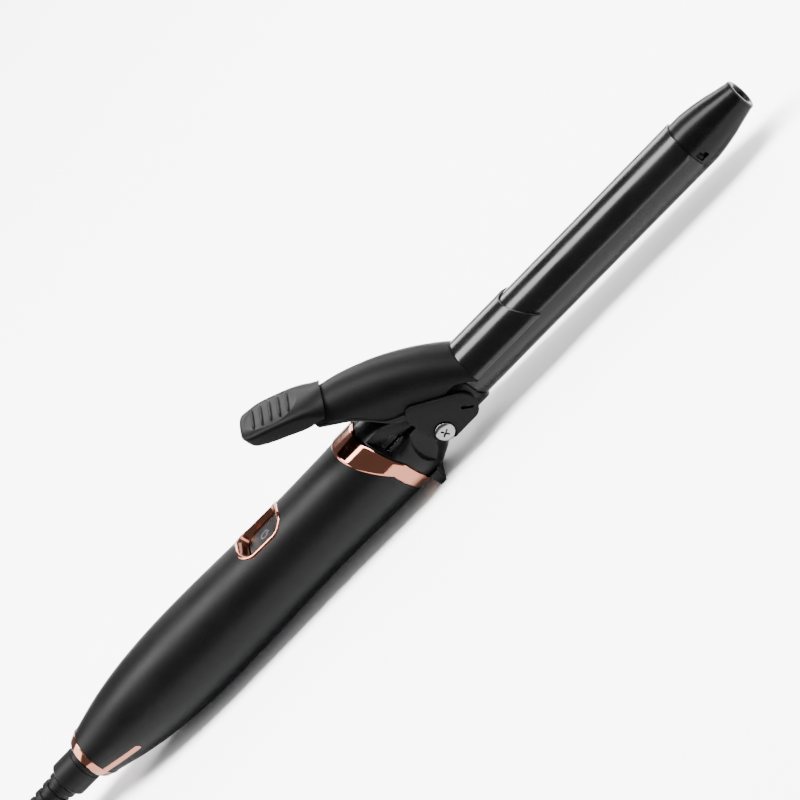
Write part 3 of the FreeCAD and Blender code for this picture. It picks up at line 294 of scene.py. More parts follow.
# Each finish: the material's name, its colour or the user's colour that it follows and how many times
# that colour, its roughness, and what differs from a plain moulded surface.
FINISHES = {
    "soft_black": (
        "Soft-touch coat", "soft_black", 1.0, 0.42,
        dict(grain=5200, bump=1e-05, shade=0.08, wear=0.05),
    ),
    "moulded_black": (
        "Moulded lever black", "moulded_black", 1.0, 0.46,
        dict(grain=3600, bump=1.5e-05, wear=0.12, specular=0.04),
    ),
    "housing_black": (
        "Housing black", "moulded_black", 1.0, 0.32,
        dict(grain=3200, bump=1.5e-05, wear=0.12),
    ),
    "thumb_black": (
        "Thumb rest black", "moulded_black", 1.1, 0.42,
        dict(grain=3600, bump=2e-05, wear=0.2, specular=0.035),
    ),
    "plate_black": (
        "Hinge plate black", "moulded_black", 1.15, 0.34,
        dict(grain=3000, bump=1.5e-05, wear=0.2, specular=0.04),
    ),
    "tip_black": ("Cool tip black", "moulded_black", 1.0, 0.27, dict(grain=3400, bump=1.5e-05, wear=0.1)),
    "button_black": (
        "Button black", (0.0014, 0.0014, 0.0015), 1.0, 0.3,
        dict(grain=4200, bump=1e-05, wear=0.1),
    ),
    "mark_grey": ("Printed mark", (0.06, 0.06, 0.062), 1.0, 0.5, dict(grain=6000, wear=0.1, shade=0.2)),
    "rose_gold": (
        "Rose gold plating", "rose_gold", 1.0, 0.07,
        dict(
            metallic=1.0, grain=900, bump=4e-06, strength=0.15, shade=0.03,
            rough_spread=0.025, cloud=140, wear=0.1, worn=(0.36, 0.19, 0.15),
        ),
    ),
    # Satin plating for the surround's inner wall: the rougher finish is real, and its colour at three
    # quarters of the plating's is painted shade in the recess.
    "rose_gold_satin_painted_shade": (
        "Rose gold inner wall", "rose_gold", 0.75, 0.2,
        dict(metallic=1.0, grain=1800, bump=1e-05, shade=0.06, cloud=200, wear=0.05),
    ),
    "barrel_coat": (
        "Barrel coat", "barrel_black", 1.0, 0.27,
        dict(grain=4200, bump=8e-06, shade=0.1, wear=0.1, specular=0.11),
    ),
    "clip_coat": (
        "Clip coat", "barrel_black", 1.0, 0.2,
        dict(grain=4200, bump=6e-06, shade=0.08, wear=0.2, specular=0.17, worn=(0.012, 0.012, 0.012)),
    ),
    "screw_steel": (
        "Screw steel", (0.11, 0.11, 0.108), 1.0, 0.2,
        dict(metallic=1.0, grain=2600, bump=1e-05, wear=0.3, shade=0.08),
    ),
    "spring_steel": (
        "Spring steel", (0.5, 0.5, 0.52), 1.0, 0.3,
        dict(metallic=1.0, grain=2600, wear=0.2),
    ),
    "aluminium": (
        "Heater aluminium", (0.75, 0.75, 0.77), 1.0, 0.35,
        dict(metallic=1.0, grain=2200, wear=0.2),
    ),
    "rubber": (
        "Cord rubber", (0.0014, 0.0014, 0.0014), 1.0, 0.5,
        dict(grain=2600, bump=3e-05, shade=0.2, wear=0.2),
    ),
    "pin_plating": (
        "Plated pins", (0.75, 0.71, 0.62), 1.0, 0.25,
        dict(metallic=1.0, grain=2200, wear=0.3),
    ),
    "ceramic": ("Insulator", (0.72, 0.69, 0.62), 1.0, 0.6, dict(grain=2400, shade=0.15)),
    "film": ("Insulating film", (0.5, 0.27, 0.05), 1.0, 0.3, dict(grain=1800, coat=0.5)),
    "board_green": ("Board", (0.02, 0.12, 0.05), 1.0, 0.35, dict(grain=1500, shade=0.25, coat=0.4)),
    "lamp_red": ("Lamp lens", (0.7, 0.1, 0.07), 1.0, 0.15, dict(grain=1500, coat=0.8)),
    "wire_grey": ("Wire insulation", (0.5, 0.5, 0.48), 1.0, 0.5, dict(grain=2400, shade=0.15)),
    "floor_paper": (
        "Floor paper", "floor", 1.0, 0.9,
        dict(grain=400, cloud=3, shade=0.01, wear=0.0, specular=0.1),
    ),
}


def finish(key):
    """The material of a finish in the list above."""
    name, colour, times, roughness, differences = FINISHES[key]
    if isinstance(colour, str):
        colour = getattr(colours(), colour)
    return finish_of(name, [value * times for value in colour], roughness, **differences)


# ---- Mesh helpers ---------------------------------------------------------------------------


def add_object(name, data):
    """An object that shows this data, linked to the scene."""
    made = bpy.data.objects.new(name, data)
    bpy.context.scene.collection.objects.link(made)
    return made


def mesh_object(
    name, verts, faces, material, body, replaced=(), slot=None, smooth=40.0, bevel=0.0, segments=2
):
    """A finished mesh at the origin that rides on its body."""
    mesh = bpy.data.meshes.new(name)
    mesh.from_pydata([tuple(v) for v in verts], [], faces)
    return dress(mesh, name, material, body, replaced, smooth, bevel, segments)


def dress(mesh, name, material, body, replaced=(), smooth=40.0, bevel=0.0, segments=2):
    """Clean and round a mesh, give it its material and set it on its body."""
    work = bmesh.new()
    work.from_mesh(mesh)
    bmesh.ops.remove_doubles(work, verts=work.verts, dist=0.000002)
    bmesh.ops.recalc_face_normals(work, faces=work.faces)
    work.to_mesh(mesh)
    work.free()
    piece = add_object(name, mesh)
    if bevel:
        rounding = piece.modifiers.new("Rounding", "BEVEL")
        rounding.width = bevel
        rounding.segments = segments
        rounding.limit_method = "ANGLE"
        rounding.angle_limit = math.radians(38)
        rounding.harden_normals = False
        settle(piece)
    shade_smooth(piece, smooth)
    piece.data.materials.clear()
    piece.data.materials.append(material)
    if body:
        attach(piece, body)
    if replaced:
        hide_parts(*replaced)
    return piece


def shade_smooth(piece, sharp_angle):
    """Shade a piece smoothly, apart from edges that bend by more than this angle in degrees."""
    for face in piece.data.polygons:
        face.use_smooth = True
    piece.data.set_sharp_from_angle(angle=math.radians(sharp_angle))


def settle(piece):
    """Turn a piece's modifiers into plain mesh."""
    graph = bpy.context.evaluated_depsgraph_get()
    mesh = bpy.data.meshes.new_from_object(piece.evaluated_get(graph))
    piece.modifiers.clear()
    piece.data = mesh
    return piece


def cut_away(piece, cutters):
    """Take cutters out of a piece and throw them away."""
    for cutter in cutters:
        modifier = piece.modifiers.new("Cut", "BOOLEAN")
        modifier.operation = "DIFFERENCE"
        modifier.solver = "EXACT"
        modifier.object = cutter
        settle(piece)
        bpy.data.objects.remove(cutter)
    return piece


def plain(name, verts, faces):
    """A bare closed mesh, for cutting with."""
    mesh = bpy.data.meshes.new(name)
    mesh.from_pydata([tuple(v) for v in verts], [], faces)
    work = bmesh.new()
    work.from_mesh(mesh)
    bmesh.ops.recalc_face_normals(work, faces=work.faces)
    work.to_mesh(mesh)
    work.free()
    piece = add_object(name, mesh)
    return piece


def grid_faces(rows, columns, start=0, wrap_rows=False, wrap_columns=False, flip=False):
    """Four-sided faces between the points of a grid, whose first point has the number start."""
    faces = []
    for i in range(rows if wrap_rows else rows - 1):
        for j in range(columns if wrap_columns else columns - 1):
            a = start + i * columns + j
            b = start + i * columns + (j + 1) % columns
            c = start + ((i + 1) % rows) * columns + (j + 1) % columns
            d = start + ((i + 1) % rows) * columns + j
            faces.append((d, c, b, a) if flip else (a, b, c, d))
    return faces


def shell(outer, inner, wrap=False):
    """Vertices and faces of a wall between two grids of points; wrap closes it round its rows."""
    rows, columns = len(outer), len(outer[0])
    verts = [p for row in outer for p in row] + [p for row in inner for p in row]
    half = rows * columns
    faces = grid_faces(rows, columns, 0, wrap_rows=wrap)
    faces += grid_faces(rows, columns, half, wrap_rows=wrap, flip=True)
    for i in range(rows if wrap else rows - 1):
        a = i * columns
        b = ((i + 1) % rows) * columns
        faces.append((a, b, b + half, a + half))
        c = a + columns - 1
        d = b + columns - 1
        faces.append((d, c, c + half, d + half))
    if not wrap:
        last = (rows - 1) * columns
        for j in range(columns - 1):
            faces.append((j + 1, j, j + half, j + 1 + half))
            faces.append((last + j, last + j + 1, last + j + 1 + half, last + j + half))
    return verts, faces


def tube_of(rings):
    """A closed skin over a row of rings, each ring with the same number of points."""
    rows, columns = len(rings), len(rings[0])
    verts = [p for ring in rings for p in ring]
    faces = grid_faces(rows, columns, 0, wrap_columns=True)
    faces.append(tuple(range(columns - 1, -1, -1)))
    faces.append(tuple((rows - 1) * columns + j for j in range(columns)))
    return verts, faces


def add_to(verts, faces, more_verts, more_faces):
    """Put more vertices and faces after those of a mesh in the making."""
    count = len(verts)
    verts.extend(more_verts)
    faces.extend(tuple(index + count for index in face) for face in more_faces)


def taken_from(piece):
    """Vertices and faces of a helper piece, which is then thrown away."""
    verts = [vertex.co.copy() for vertex in piece.data.vertices]
    faces = [tuple(face.vertices) for face in piece.data.polygons]
    bpy.data.objects.remove(piece)
    return verts, faces


def place_cut(piece, body, node):
    """Shade a piece again after cuts, and set it on its body in place of its node."""
    shade_smooth(piece, 35)
    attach(piece, body)
    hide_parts(node)


def at_axis(x, radius, turn):
    """A point round the barrel's axis; turn is in radians from the top, towards +Y."""
    return Vector((x, radius * math.sin(turn), AXIS_Z + radius * math.cos(turn)))


def lathe(outline, steps=128):
    """A closed outline of (x, radius) turned about the barrel's axis."""
    rows = [[at_axis(x, r, 2 * math.pi * k / steps) for x, r in outline] for k in range(steps)]
    verts = [p for row in rows for p in row]
    return verts, grid_faces(steps, len(outline), 0, wrap_rows=True, wrap_columns=True)


def arc_points(centre, radius, start, end, count):
    """Points of an arc in the outline's plane; angles in degrees."""
    points = []
    for k in range(count + 1):
        angle = math.radians(start + (end - start) * k / count)
        points.append((centre[0] + radius * math.cos(angle), centre[1] + radius * math.sin(angle)))
    return points


def circle(radius, count):
    """Points evenly spaced round a circle."""
    angles = spread(0, 2 * math.pi * (count - 1) / count, count)
    return [(radius * math.cos(angle), radius * math.sin(angle)) for angle in angles]


def at_pivot(points, y):
    """A ring at this y, from points (x, z) that are counted from the lever's pivot."""
    return [Vector((PIVOT_X + x, y, PIVOT_Z + z)) for x, z in points]


def soften(outline, radius, steps=4):
    """Round the corners of a closed outline by small arcs."""
    result = []
    count = len(outline)
    for index in range(count):
        before = Vector(outline[index - 1])
        corner = Vector(outline[index])
        after = Vector(outline[(index + 1) % count])
        reach = min(radius, 0.45 * (before - corner).length, 0.45 * (after - corner).length)
        start = corner + (before - corner).normalized() * reach
        end = corner + (after - corner).normalized() * reach
        for k in range(steps + 1):
            share = k / steps
            mid = start.lerp(corner, share).lerp(corner.lerp(end, share), share)
            result.append((mid.x, mid.y))
    return result


# The second derivatives of each spline that has been asked for.
SPLINES = {}


def cubic(stations, at):
    """A smooth value between stations of (place, values...), by a natural cubic spline."""
    key = tuple(stations)
    if key not in SPLINES:
        SPLINES[key] = [
            natural_slopes([s[0] for s in key], [s[c] for s in key]) for c in range(1, len(key[0]))
        ]
    places = [s[0] for s in key]
    at = min(max(at, places[0]), places[-1])
    index = 0
    while index < len(places) - 2 and at > places[index + 1]:
        index += 1
    width = places[index + 1] - places[index]
    t = (at - places[index]) / width
    values = []
    for column, seconds in enumerate(SPLINES[key], start=1):
        a, b = key[index][column], key[index + 1][column]
        ma, mb = seconds[index], seconds[index + 1]
        bend = ((1 - t) ** 3 - (1 - t)) * ma + (t**3 - t) * mb
        values.append((1 - t) * a + t * b + bend * width * width / 6)
    return values if len(values) > 1 else values[0]


def natural_slopes(places, values):
    """Second derivatives of the natural cubic spline through the points."""
    count = len(places)
    low_side, middle, right = [0.0] * count, [1.0] * count, [0.0] * count
    up = [0.0] * count
    for i in range(1, count - 1):
        before = places[i] - places[i - 1]
        after = places[i + 1] - places[i]
        low_side[i], middle[i], up[i] = before, 2 * (before + after), after
        right[i] = 6 * ((values[i + 1] - values[i]) / after - (values[i] - values[i - 1]) / before)
    for i in range(1, count):
        share = low_side[i] / middle[i - 1]
        middle[i] -= share * up[i - 1]
        right[i] -= share * right[i - 1]
    result = [0.0] * count
    for i in range(count - 2, 0, -1):
        result[i] = (right[i] - up[i] * result[i + 1]) / middle[i]
    return result


def spread(start, end, count):
    """Evenly spaced values from start to end, both counted."""
    return [start + (end - start) * k / (count - 1) for k in range(count)]


# ---- Shapes that several pieces follow ------------------------------------------------------

# Handle stations: place along the axis and radius.
HANDLE = (
    (HANDLE_BACK, 10.25 * MM),
    (HANDLE_BACK + 15.0 * MM, 13.6 * MM),
    (HANDLE_BACK + 33.0 * MM, 15.9 * MM),
    (HANDLE_BACK + 59.6 * MM, 16.8 * MM),
    (RING_BACK - 50.0 * MM, 15.8 * MM),
    (RING_FRONT, 16.4 * MM),
)


def handle_radius(x):
    """Radius of the handle at a place along the axis."""
    return cubic(HANDLE, x)


def ring_edge(turn, front):
    """Where the slanted ring's edge is at a turn from the top."""
    base = RING_FRONT if front else RING_BACK
    slant = sizes().ring_slant_front if front else sizes().ring_slant_back
    return base - slant * max(0.0, math.cos(turn))


WALL = 2.2 * MM
SEAM = 0.06 * MM


def handle_shell_grid(first, last, turns=97, stations=90):
    """Outer and inner points of the handle's skin between two turns from the top."""
    outer, inner = [], []
    for turn in spread(first, last, turns):
        end = ring_edge(turn, False) - SEAM
        row_out, row_in = [], []
        for share in spread(0.0, 1.0, stations):
            x = HANDLE_BACK + (end - HANDLE_BACK) * share
            row_out.append(at_axis(x, handle_radius(x), turn))
            row_in.append(at_axis(x, handle_radius(x) - WALL, turn))
        outer.append(row_out)
        inner.append(row_in)
    return outer, inner


def rounded_outline(length, width, corner, per_corner=12):
    """Points round a rectangle with rounded corners, centred on the origin."""
    points = []
    corners = [(1, 1, 0), (-1, 1, 90), (-1, -1, 180), (1, -1, 270)]
    for sx, sy, start in corners:
        cx, cy = sx * (length / 2 - corner), sy * (width / 2 - corner)
        for k in range(per_corner + 1):
            angle = math.radians(start + 90 * k / per_corner)
            points.append((cx + corner * math.cos(angle), cy + corner * math.sin(angle)))
    return points


def prism(name, outline, bottom, top, x=0.0, y=0.0):
    """An upright block with this outline."""
    rings = [[Vector((x + px, y + py, z)) for px, py in outline] for z in (bottom, top)]
    return plain(name, *tube_of(rings))


# The button's surround, and the length of the button's cap.
BEZEL_LENGTH = high("switch_bezel").x - low("switch_bezel").x
BEZEL_WIDTH, BEZEL_CORNER = 18.5 * MM, 6.4 * MM
BUTTON_LENGTH = high("power_button").x - low("power_button").x - 2.4 * MM


# ---- Operators ------------------------------------------------------------------------------


class IRON_OT_handle(bpy.types.Operator):
    """Make the two soft-touch shells of the handle"""

    bl_idname = "iron.handle"
    bl_label = "Handle shells"

    def execute(self, context):
        window = rounded_outline(BEZEL_LENGTH - 0.3 * MM, BEZEL_WIDTH - 0.3 * MM, BEZEL_CORNER)
        quarter = math.pi / 2
        upper = mesh_object(
            "upper_handle_shell", *shell(*handle_shell_grid(-quarter, quarter)), finish("soft_black"), None
        )
        cut_away(upper, [prism("window", window, AXIS_Z + 4 * MM, AXIS_Z + 40 * MM, BUTTON_X)])
        place_cut(upper, "handle", "handle_upper_shell")
        lower = mesh_object(
            "lower_handle_shell",
            *shell(*handle_shell_grid(quarter, 2 * math.pi - quarter)),
            finish("soft_black"),
            None,
        )
        place_cut(lower, "handle", "handle_lower_shell")
        return {"FINISHED"}


# The front ring's outside and bore, and half the width of the rear ring's side tabs.
RING_R = 16.62 * MM
RING_BORE = 14.0 * MM
TAB_HALF = 1.25 * MM


class IRON_OT_rings(bpy.types.Operator):
    """Make the plated rings at both ends of the handle"""

    bl_idname = "iron.rings"
    bl_label = "Trim rings"

    def execute(self, context):
        outer, inner = [], []
        across = spread(0.0, 1.0, 21)
        for turn in spread(0.0, 2 * math.pi * (1 - 1 / 192), 192):
            start = ring_edge(turn, False) + SEAM
            end = ring_edge(turn, True) - SEAM
            row_out, row_in = [], []
            for share in across:
                x = start + (end - start) * share
                edge = min(share, 1 - share) * (end - start)
                drop = 0.35 * MM * max(0.0, 1 - edge / (0.7 * MM)) ** 2
                row_out.append(at_axis(x, RING_R - drop, turn))
                row_in.append(at_axis(x, RING_BORE, turn))
            outer.append(row_out)
            inner.append(row_in)
        walls = shell(outer, inner, wrap=True)
        mesh_object("front_ring", *walls, finish("rose_gold"), "handle", ["front_trim_ring"], "rose_gold")
        back = low("rear_trim_ring").x
        outline = [
            (back, 5.2 * MM),
            (back, 8.2 * MM),
            (back + 0.8 * MM, 9.3 * MM),
            (HANDLE_BACK - 0.25 * MM, 10.5 * MM),
            (HANDLE_BACK, 10.35 * MM),
            (HANDLE_BACK, 5.2 * MM),
        ]
        verts, faces = lathe(soften(outline, 0.5 * MM, 5))
        for side in (-1, 1):
            outer, inner = [], []
            angle = side * math.radians(108)
            reach = high("rear_trim_ring").x - HANDLE_BACK
            for across_share in spread(-1.0, 1.0, 15):
                row_out, row_in = [], []
                round_end = TAB_HALF * math.sqrt(max(0.0, 1 - across_share**2))
                end = HANDLE_BACK + reach - TAB_HALF + round_end
                for share in spread(0.0, 1.0, 30):
                    x = HANDLE_BACK - 0.5 * MM + (end - HANDLE_BACK + 0.5 * MM) * share
                    radius = handle_radius(max(x, HANDLE_BACK))
                    turn = angle + across_share * TAB_HALF / radius
                    crown = 0.12 * MM * (1 - across_share**4)
                    row_out.append(at_axis(x, radius + 0.05 * MM + crown, turn))
                    row_in.append(at_axis(x, radius - 0.9 * MM, turn))
                outer.append(row_out)
                inner.append(row_in)
            add_to(verts, faces, *shell(outer, inner))
        gold = finish("rose_gold")
        mesh_object("rear_ring", verts, faces, gold, "handle", ["rear_trim_ring"], "rose_gold")
        return {"FINISHED"}


class IRON_OT_button(bpy.types.Operator):
    """Make the plated surround, the power button and its mark"""

    bl_idname = "iron.button"
    bl_label = "Button"

    def execute(self, context):
        base = low("switch_bezel").z
        # Each loop: how far inside the outer outline, and how far down the slope it lies.
        loops = [
            (0.0, "low"), (0.0, "skin"), (0.15, "rim"), (0.45, "crest"), (0.85, "crest"), (1.15, "rim")
        ]
        slope_start, steps = 1.15 * MM, 8
        outer = (BEZEL_LENGTH, BEZEL_WIDTH, BEZEL_CORNER)
        heights = {"skin": 0.0, "rim": 0.22 * MM, "crest": 0.34 * MM}
        rings = []
        for inset, place in loops:
            outline = rounded_outline(
                outer[0] - 2 * inset * MM, outer[1] - 2 * inset * MM, outer[2] - inset * MM
            )
            ring = []
            for px, py in outline:
                x = BUTTON_X + px
                skin = math.sqrt(handle_radius(x) ** 2 - py * py) + AXIS_Z
                ring.append(Vector((x, py, base if place == "low" else skin + heights[place])))
            rings.append(ring)
        top_ring = rings[-1]
        floor_z = BUTTON_TOP - 0.5 * MM
        hole = rounded_outline(BUTTON_LENGTH + 0.6 * MM, 14.5 * MM, 4.7 * MM)
        for k in range(1, steps + 1):
            share = k / steps
            fall = share**1.2
            ring = []
            for point, (hx, hy) in zip(top_ring, hole):
                x = point.x + (BUTTON_X + hx - point.x) * share
                y = point.y + (hy - point.y) * share
                ring.append(Vector((x, y, point.z + (floor_z - point.z) * fall)))
            rings.append(ring)
        rings.append([Vector((p.x, p.y, base)) for p in rings[-1]])
        rows, columns = len(rings), len(rings[0])
        verts = [p for ring in rings for p in ring]
        faces = grid_faces(rows, columns, 0, wrap_rows=True, wrap_columns=True)
        gold = finish("rose_gold")
        bezel = mesh_object(
            "button_surround", verts, faces, gold, "handle", ["switch_bezel"], "rose_gold", smooth=50
        )
        # The slope inside the surround gets the rougher copy of the plating, whose darker colour is
        # painted shade.
        bezel.data.materials.append(finish("rose_gold_satin_painted_shade"))
        for face in bezel.data.polygons:
            middle = face.center
            inside = abs(middle.x - BUTTON_X) < BEZEL_LENGTH / 2 - slope_start
            inside = inside and abs(middle.y) < BEZEL_WIDTH / 2 - slope_start
            if inside and abs(face.normal.z) < 0.97 and middle.z < AXIS_Z + 15.5 * MM:
                face.material_index = 1
        bottom = low("power_button").z
        rings = []
        profile = [(0.0, bottom), (0.0, BUTTON_TOP - 0.55 * MM)]
        for k in range(1, 7):
            angle = math.radians(15 * k)
            profile.append(
                (0.5 * MM * (1 - math.cos(angle)), BUTTON_TOP - 0.55 * MM + 0.5 * MM * math.sin(angle))
            )
        profile += [
            (1.6 * MM, BUTTON_TOP - 0.03 * MM), (3.4 * MM, BUTTON_TOP - 0.1 * MM),
            (5.4 * MM, BUTTON_TOP - 0.14 * MM)
        ]
        for inset, z in profile:
            corner = max(4.4 * MM - inset, 0.6 * MM)
            outline = rounded_outline(BUTTON_LENGTH - 0.1 * MM - 2 * inset, 13.8 * MM - 2 * inset, corner)
            rings.append([Vector((BUTTON_X + px, py, z)) for px, py in outline])
        black = finish("button_black")
        mesh_object(
            "button_cap", *tube_of(rings), black, "button", ["power_button"], "button_black", smooth=50
        )
        self.mark()
        return {"FINISHED"}

    def mark(self):
        """A generic on-off mark: an open ring with a short bar."""
        top = BUTTON_TOP - 0.1 * MM
        radius, line, proud = 1.75 * MM, 0.2 * MM, 0.05 * MM
        section = ((-line, 0.0), (-line, proud), (line, proud), (line, 0.0))
        rings = []
        for angle in spread(math.radians(35), math.radians(325), 41):
            ring = []
            for aside, rise in section:
                x = BUTTON_X + (radius + aside) * math.cos(angle)
                ring.append(Vector((x, (radius + aside) * math.sin(angle), top + rise)))
            rings.append(ring)
        verts, faces = tube_of(rings)
        bar = [
            [Vector((BUTTON_X + x, y, top + rise)) for y, rise in section] for x in (0.5 * MM, 2.2 * MM)
        ]
        add_to(verts, faces, *tube_of(bar))
        mesh_object("button_mark", verts, faces, finish("mark_grey"), "button", slot="button_black")


class IRON_OT_housing(bpy.types.Operator):
    """Make the front housing and its foot"""

    bl_idname = "iron.housing"
    bl_label = "Front housing"

    def execute(self, context):
        for node, name, bevel in (
            ("front_housing", "neck_housing", 0.25 * MM), ("stand_foot", "foot_bar", 0.5 * MM)
        ):
            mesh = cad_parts[node].data.copy()
            work = bmesh.new()
            work.from_mesh(mesh)
            bmesh.ops.remove_doubles(work, verts=work.verts, dist=0.000005)
            bmesh.ops.dissolve_limit(
                work, angle_limit=math.radians(1.0), verts=work.verts, edges=work.edges
            )
            work.to_mesh(mesh)
            work.free()
            black = finish("housing_black")
            dress(mesh, name, black, "handle", [node], smooth=30, bevel=bevel)
        return {"FINISHED"}


# The tip's taper: from the barrel's end, and radius, in millimetres, on a tip of this length.
TIP_LENGTH = 24.5
TIP_CURVE = (
    (4.2, 9.5),
    (5.4, 9.36),
    (8.7, 8.97),
    (12.0, 8.4),
    (15.3, 7.72),
    (18.5, 6.9),
    (21.5, 6.25),
    (22.6, 5.95),
)


class IRON_OT_barrel(bpy.types.Operator):
    """Make the barrel and the insulated tip"""

    bl_idname = "iron.barrel"
    bl_label = "Barrel and tip"

    def execute(self, context):
        inside = BARREL_R - 0.8 * MM
        outline = [
            (BARREL_BACK, inside), (BARREL_BACK, BARREL_R), (BARREL_FRONT - 0.05 * MM, BARREL_R),
            (BARREL_FRONT - 0.05 * MM, inside)
        ]
        outline = soften(outline, 0.12 * MM, 3)
        coat = finish("barrel_coat")
        mesh_object("barrel_tube", *lathe(outline, 160), coat, "handle", ["barrel"], "barrel_coating")
        length = TIP_FRONT - BARREL_FRONT
        curve = tuple((x / TIP_LENGTH * length, r * MM) for x, r in TIP_CURVE)
        outline = [
            (BARREL_FRONT + 0.03 * MM, 6.0 * MM), (BARREL_FRONT + 0.03 * MM, 9.3 * MM),
            (BARREL_FRONT + 0.2 * MM, 9.5 * MM)
        ]
        outline += [(BARREL_FRONT + x, cubic(curve, x)) for x in spread(curve[0][0], curve[-1][0], 28)]
        lip = 1.35 * MM
        lip_middle = (TIP_FRONT - lip, 4.75 * MM)
        outline += arc_points(lip_middle, lip, 55, 0, 8)
        outline += arc_points(lip_middle, lip, -8, -88, 8)
        bottom = BARREL_FRONT + 4.2 * MM
        outline += [
            (bottom + 0.6 * MM, 3.4 * MM), (bottom, 3.0 * MM), (bottom, 1.5 * MM),
            (BARREL_FRONT + 1.0 * MM, 1.5 * MM), (BARREL_FRONT + 1.0 * MM, 6.0 * MM)
        ]
        tip_piece = mesh_object("tip_moulding", *lathe(outline, 160), finish("tip_black"), None)
        notches = []
        for side in (-1, 1):
            notches.append(self.notch(side, 0.9 * MM, 4.2 * MM, 3.0 * MM, 8.2 * MM, 11 * MM))
        cut_away(tip_piece, notches)
        place_cut(tip_piece, "handle", "cool_tip")
        verts, faces = [], []
        for side in (-1, 1):
            nub = self.notch(side, 1.1 * MM, 2.3 * MM, 2.2 * MM, 8.3 * MM, 9.25 * MM)
            add_to(verts, faces, *taken_from(nub))
        black = finish("thumb_black")
        mesh_object("tip_snaps", verts, faces, black, "handle", slot="tip_black", bevel=0.2 * MM)
        return {"FINISHED"}

    def notch(self, side, start, end, width, inner, outer):
        """A small block across the tip's wall."""
        angle = side * math.radians(98)
        rings = []
        for radius in (inner, outer):
            ring = []
            for dx, across in ((start, -1), (end, -1), (end, 1), (start, 1)):
                turn = angle + across * width / 2 / BARREL_R
                ring.append(at_axis(BARREL_FRONT + dx, radius, turn))
            rings.append(ring)
        return plain("notch", *tube_of(rings))


# The clip tongue and the sleeve round its root; a wrap is half of the turn that it covers.
CLIP_GAP = 0.2 * MM
CLIP_THICK = 0.5 * MM
CLIP_WRAP = math.radians(82)
SLEEVE_WRAP = math.radians(85.5)
SLEEVE_R = 11.25 * MM
SLEEVE_LENGTH = 23.7 * MM
SLEEVE_SWEEP = 8.7 * MM


class IRON_OT_clip(bpy.types.Operator):
    """Make the clip tongue and its raised sleeve"""

    bl_idname = "iron.clip"
    bl_label = "Clip"

    def execute(self, context):
        inner_r = BARREL_R + CLIP_GAP
        outer_r = inner_r + CLIP_THICK
        back = low("clip_tongue").x
        outer, inner = [], []
        for turn in spread(-CLIP_WRAP, CLIP_WRAP, 81):
            share = abs(turn) / CLIP_WRAP
            end = BARREL_FRONT - 0.2 * MM - 1.5 * MM * max(0.0, share - 0.93) / 0.07 * 0.6
            outer.append([at_axis(x, outer_r, turn) for x in spread(back, end, 60)])
            inner.append([at_axis(x, inner_r, turn) for x in spread(back, end, 60)])
        coat = finish("clip_coat")
        plate = shell(outer, inner)
        mesh_object(
            "clip_tongue_plate", *plate, coat, "lever", ["clip_tongue"], "clip_coating", bevel=0.12 * MM
        )
        outer, inner = [], []
        for turn in spread(-SLEEVE_WRAP, SLEEVE_WRAP, 81):
            end = LEVER_FRONT + SLEEVE_LENGTH + SLEEVE_SWEEP * (1 - math.cos(turn))
            row_out, row_in = [], []
            for share in spread(0.0, 1.0, 40):
                x = LEVER_FRONT + 0.05 * MM + (end - LEVER_FRONT) * share
                radius = SLEEVE_R - 0.1 * MM * share
                row_out.append(at_axis(x, radius, turn))
                row_in.append(at_axis(x, outer_r + 0.01 * MM, turn))
            outer.append(row_out)
            inner.append(row_in)
        mesh_object(
            "clip_root_sleeve",
            *shell(outer, inner),
            coat,
            "lever",
            ["clip_sleeve"],
            "clip_coating",
            bevel=0.2 * MM,
            segments=3,
        )
        return {"FINISHED"}


# Lever stations: behind the lever's front edge, crest, lower edge, half width, in millimetres.
LEVER = (
    (0.0, 11.25, 0.2, 11.25),
    (5.7, 16.9, 5.4, 11.45),
    (14.9, 24.0, 5.4, 11.5),
    (21.3, 27.9, 8.6, 11.5),
    (26.6, 30.5, 10.6, 11.4),
    (30.2, 32.1, 12.8, 11.2),
    (35.5, 34.0, 20.2, 10.8),
    (41.5, 35.6, 25.6, 10.2),
    (47.0, 37.4, 29.6, 9.6),
)


def lever_station(back):
    """Crest, lower edge and half width of the lever at a distance behind its front edge."""
    crest, edge, half = cubic(LEVER, back)
    return crest * MM, edge * MM, half * MM


def arch_row(x, crest, half, edge, side_steps=8, arch_steps=36):
    """Points up one side, over the round top and down the other side."""
    centre = max(crest - half, edge + 0.1 * MM)
    height = crest - centre
    row = []
    for z in spread(edge, centre, side_steps)[:-1]:
        row.append(Vector((x, -half, AXIS_Z + z)))
    for angle in spread(math.pi, 0.0, arch_steps):
        row.append(Vector((x, half * math.cos(angle), AXIS_Z + centre + height * math.sin(angle))))
    for z in spread(centre, edge, side_steps)[1:]:
        row.append(Vector((x, half, AXIS_Z + z)))
    return row


# Thumb cap stations: behind the lever's front edge, crest, lower edge, half width, rise of the top.
PAD = (
    (38.4, 35.9, 32.0, 10.9, 9.6),
    (41.5, 37.1, 31.2, 10.7, 8.0),
    (45.0, 38.7, 30.9, 10.5, 5.6),
    (49.0, 40.4, 31.4, 10.4, 4.0),
    (55.0, 42.8, 34.3, 10.3, 3.2),
    (61.0, 45.0, 37.4, 10.0, 3.0),
    (65.0, 46.0, 39.6, 9.0, 2.8),
    (67.0, 46.2, 41.4, 7.4, 2.2),
    (67.9, 45.6, 43.0, 5.6, 1.2),
)
PAD_MIDDLE = 56.0
# The thumb cap's hollow, in millimetres: half its length, half its width and its depth.
HOLLOW_LONG = 9.5
HOLLOW_WIDE = 8.6
HOLLOW_DEEP = 0.55
# The bars across the thumb cap.
RIB_R = 0.62 * MM
RIB_HALF = 6.9 * MM


def pad_dish(back, y):
    """Depth of the thumb cap's hollow at a place, in millimetres."""
    reach = ((back - PAD_MIDDLE) / HOLLOW_LONG) ** 2 + (y / HOLLOW_WIDE) ** 2
    return HOLLOW_DEEP * max(0.0, 1 - reach) ** 0.5


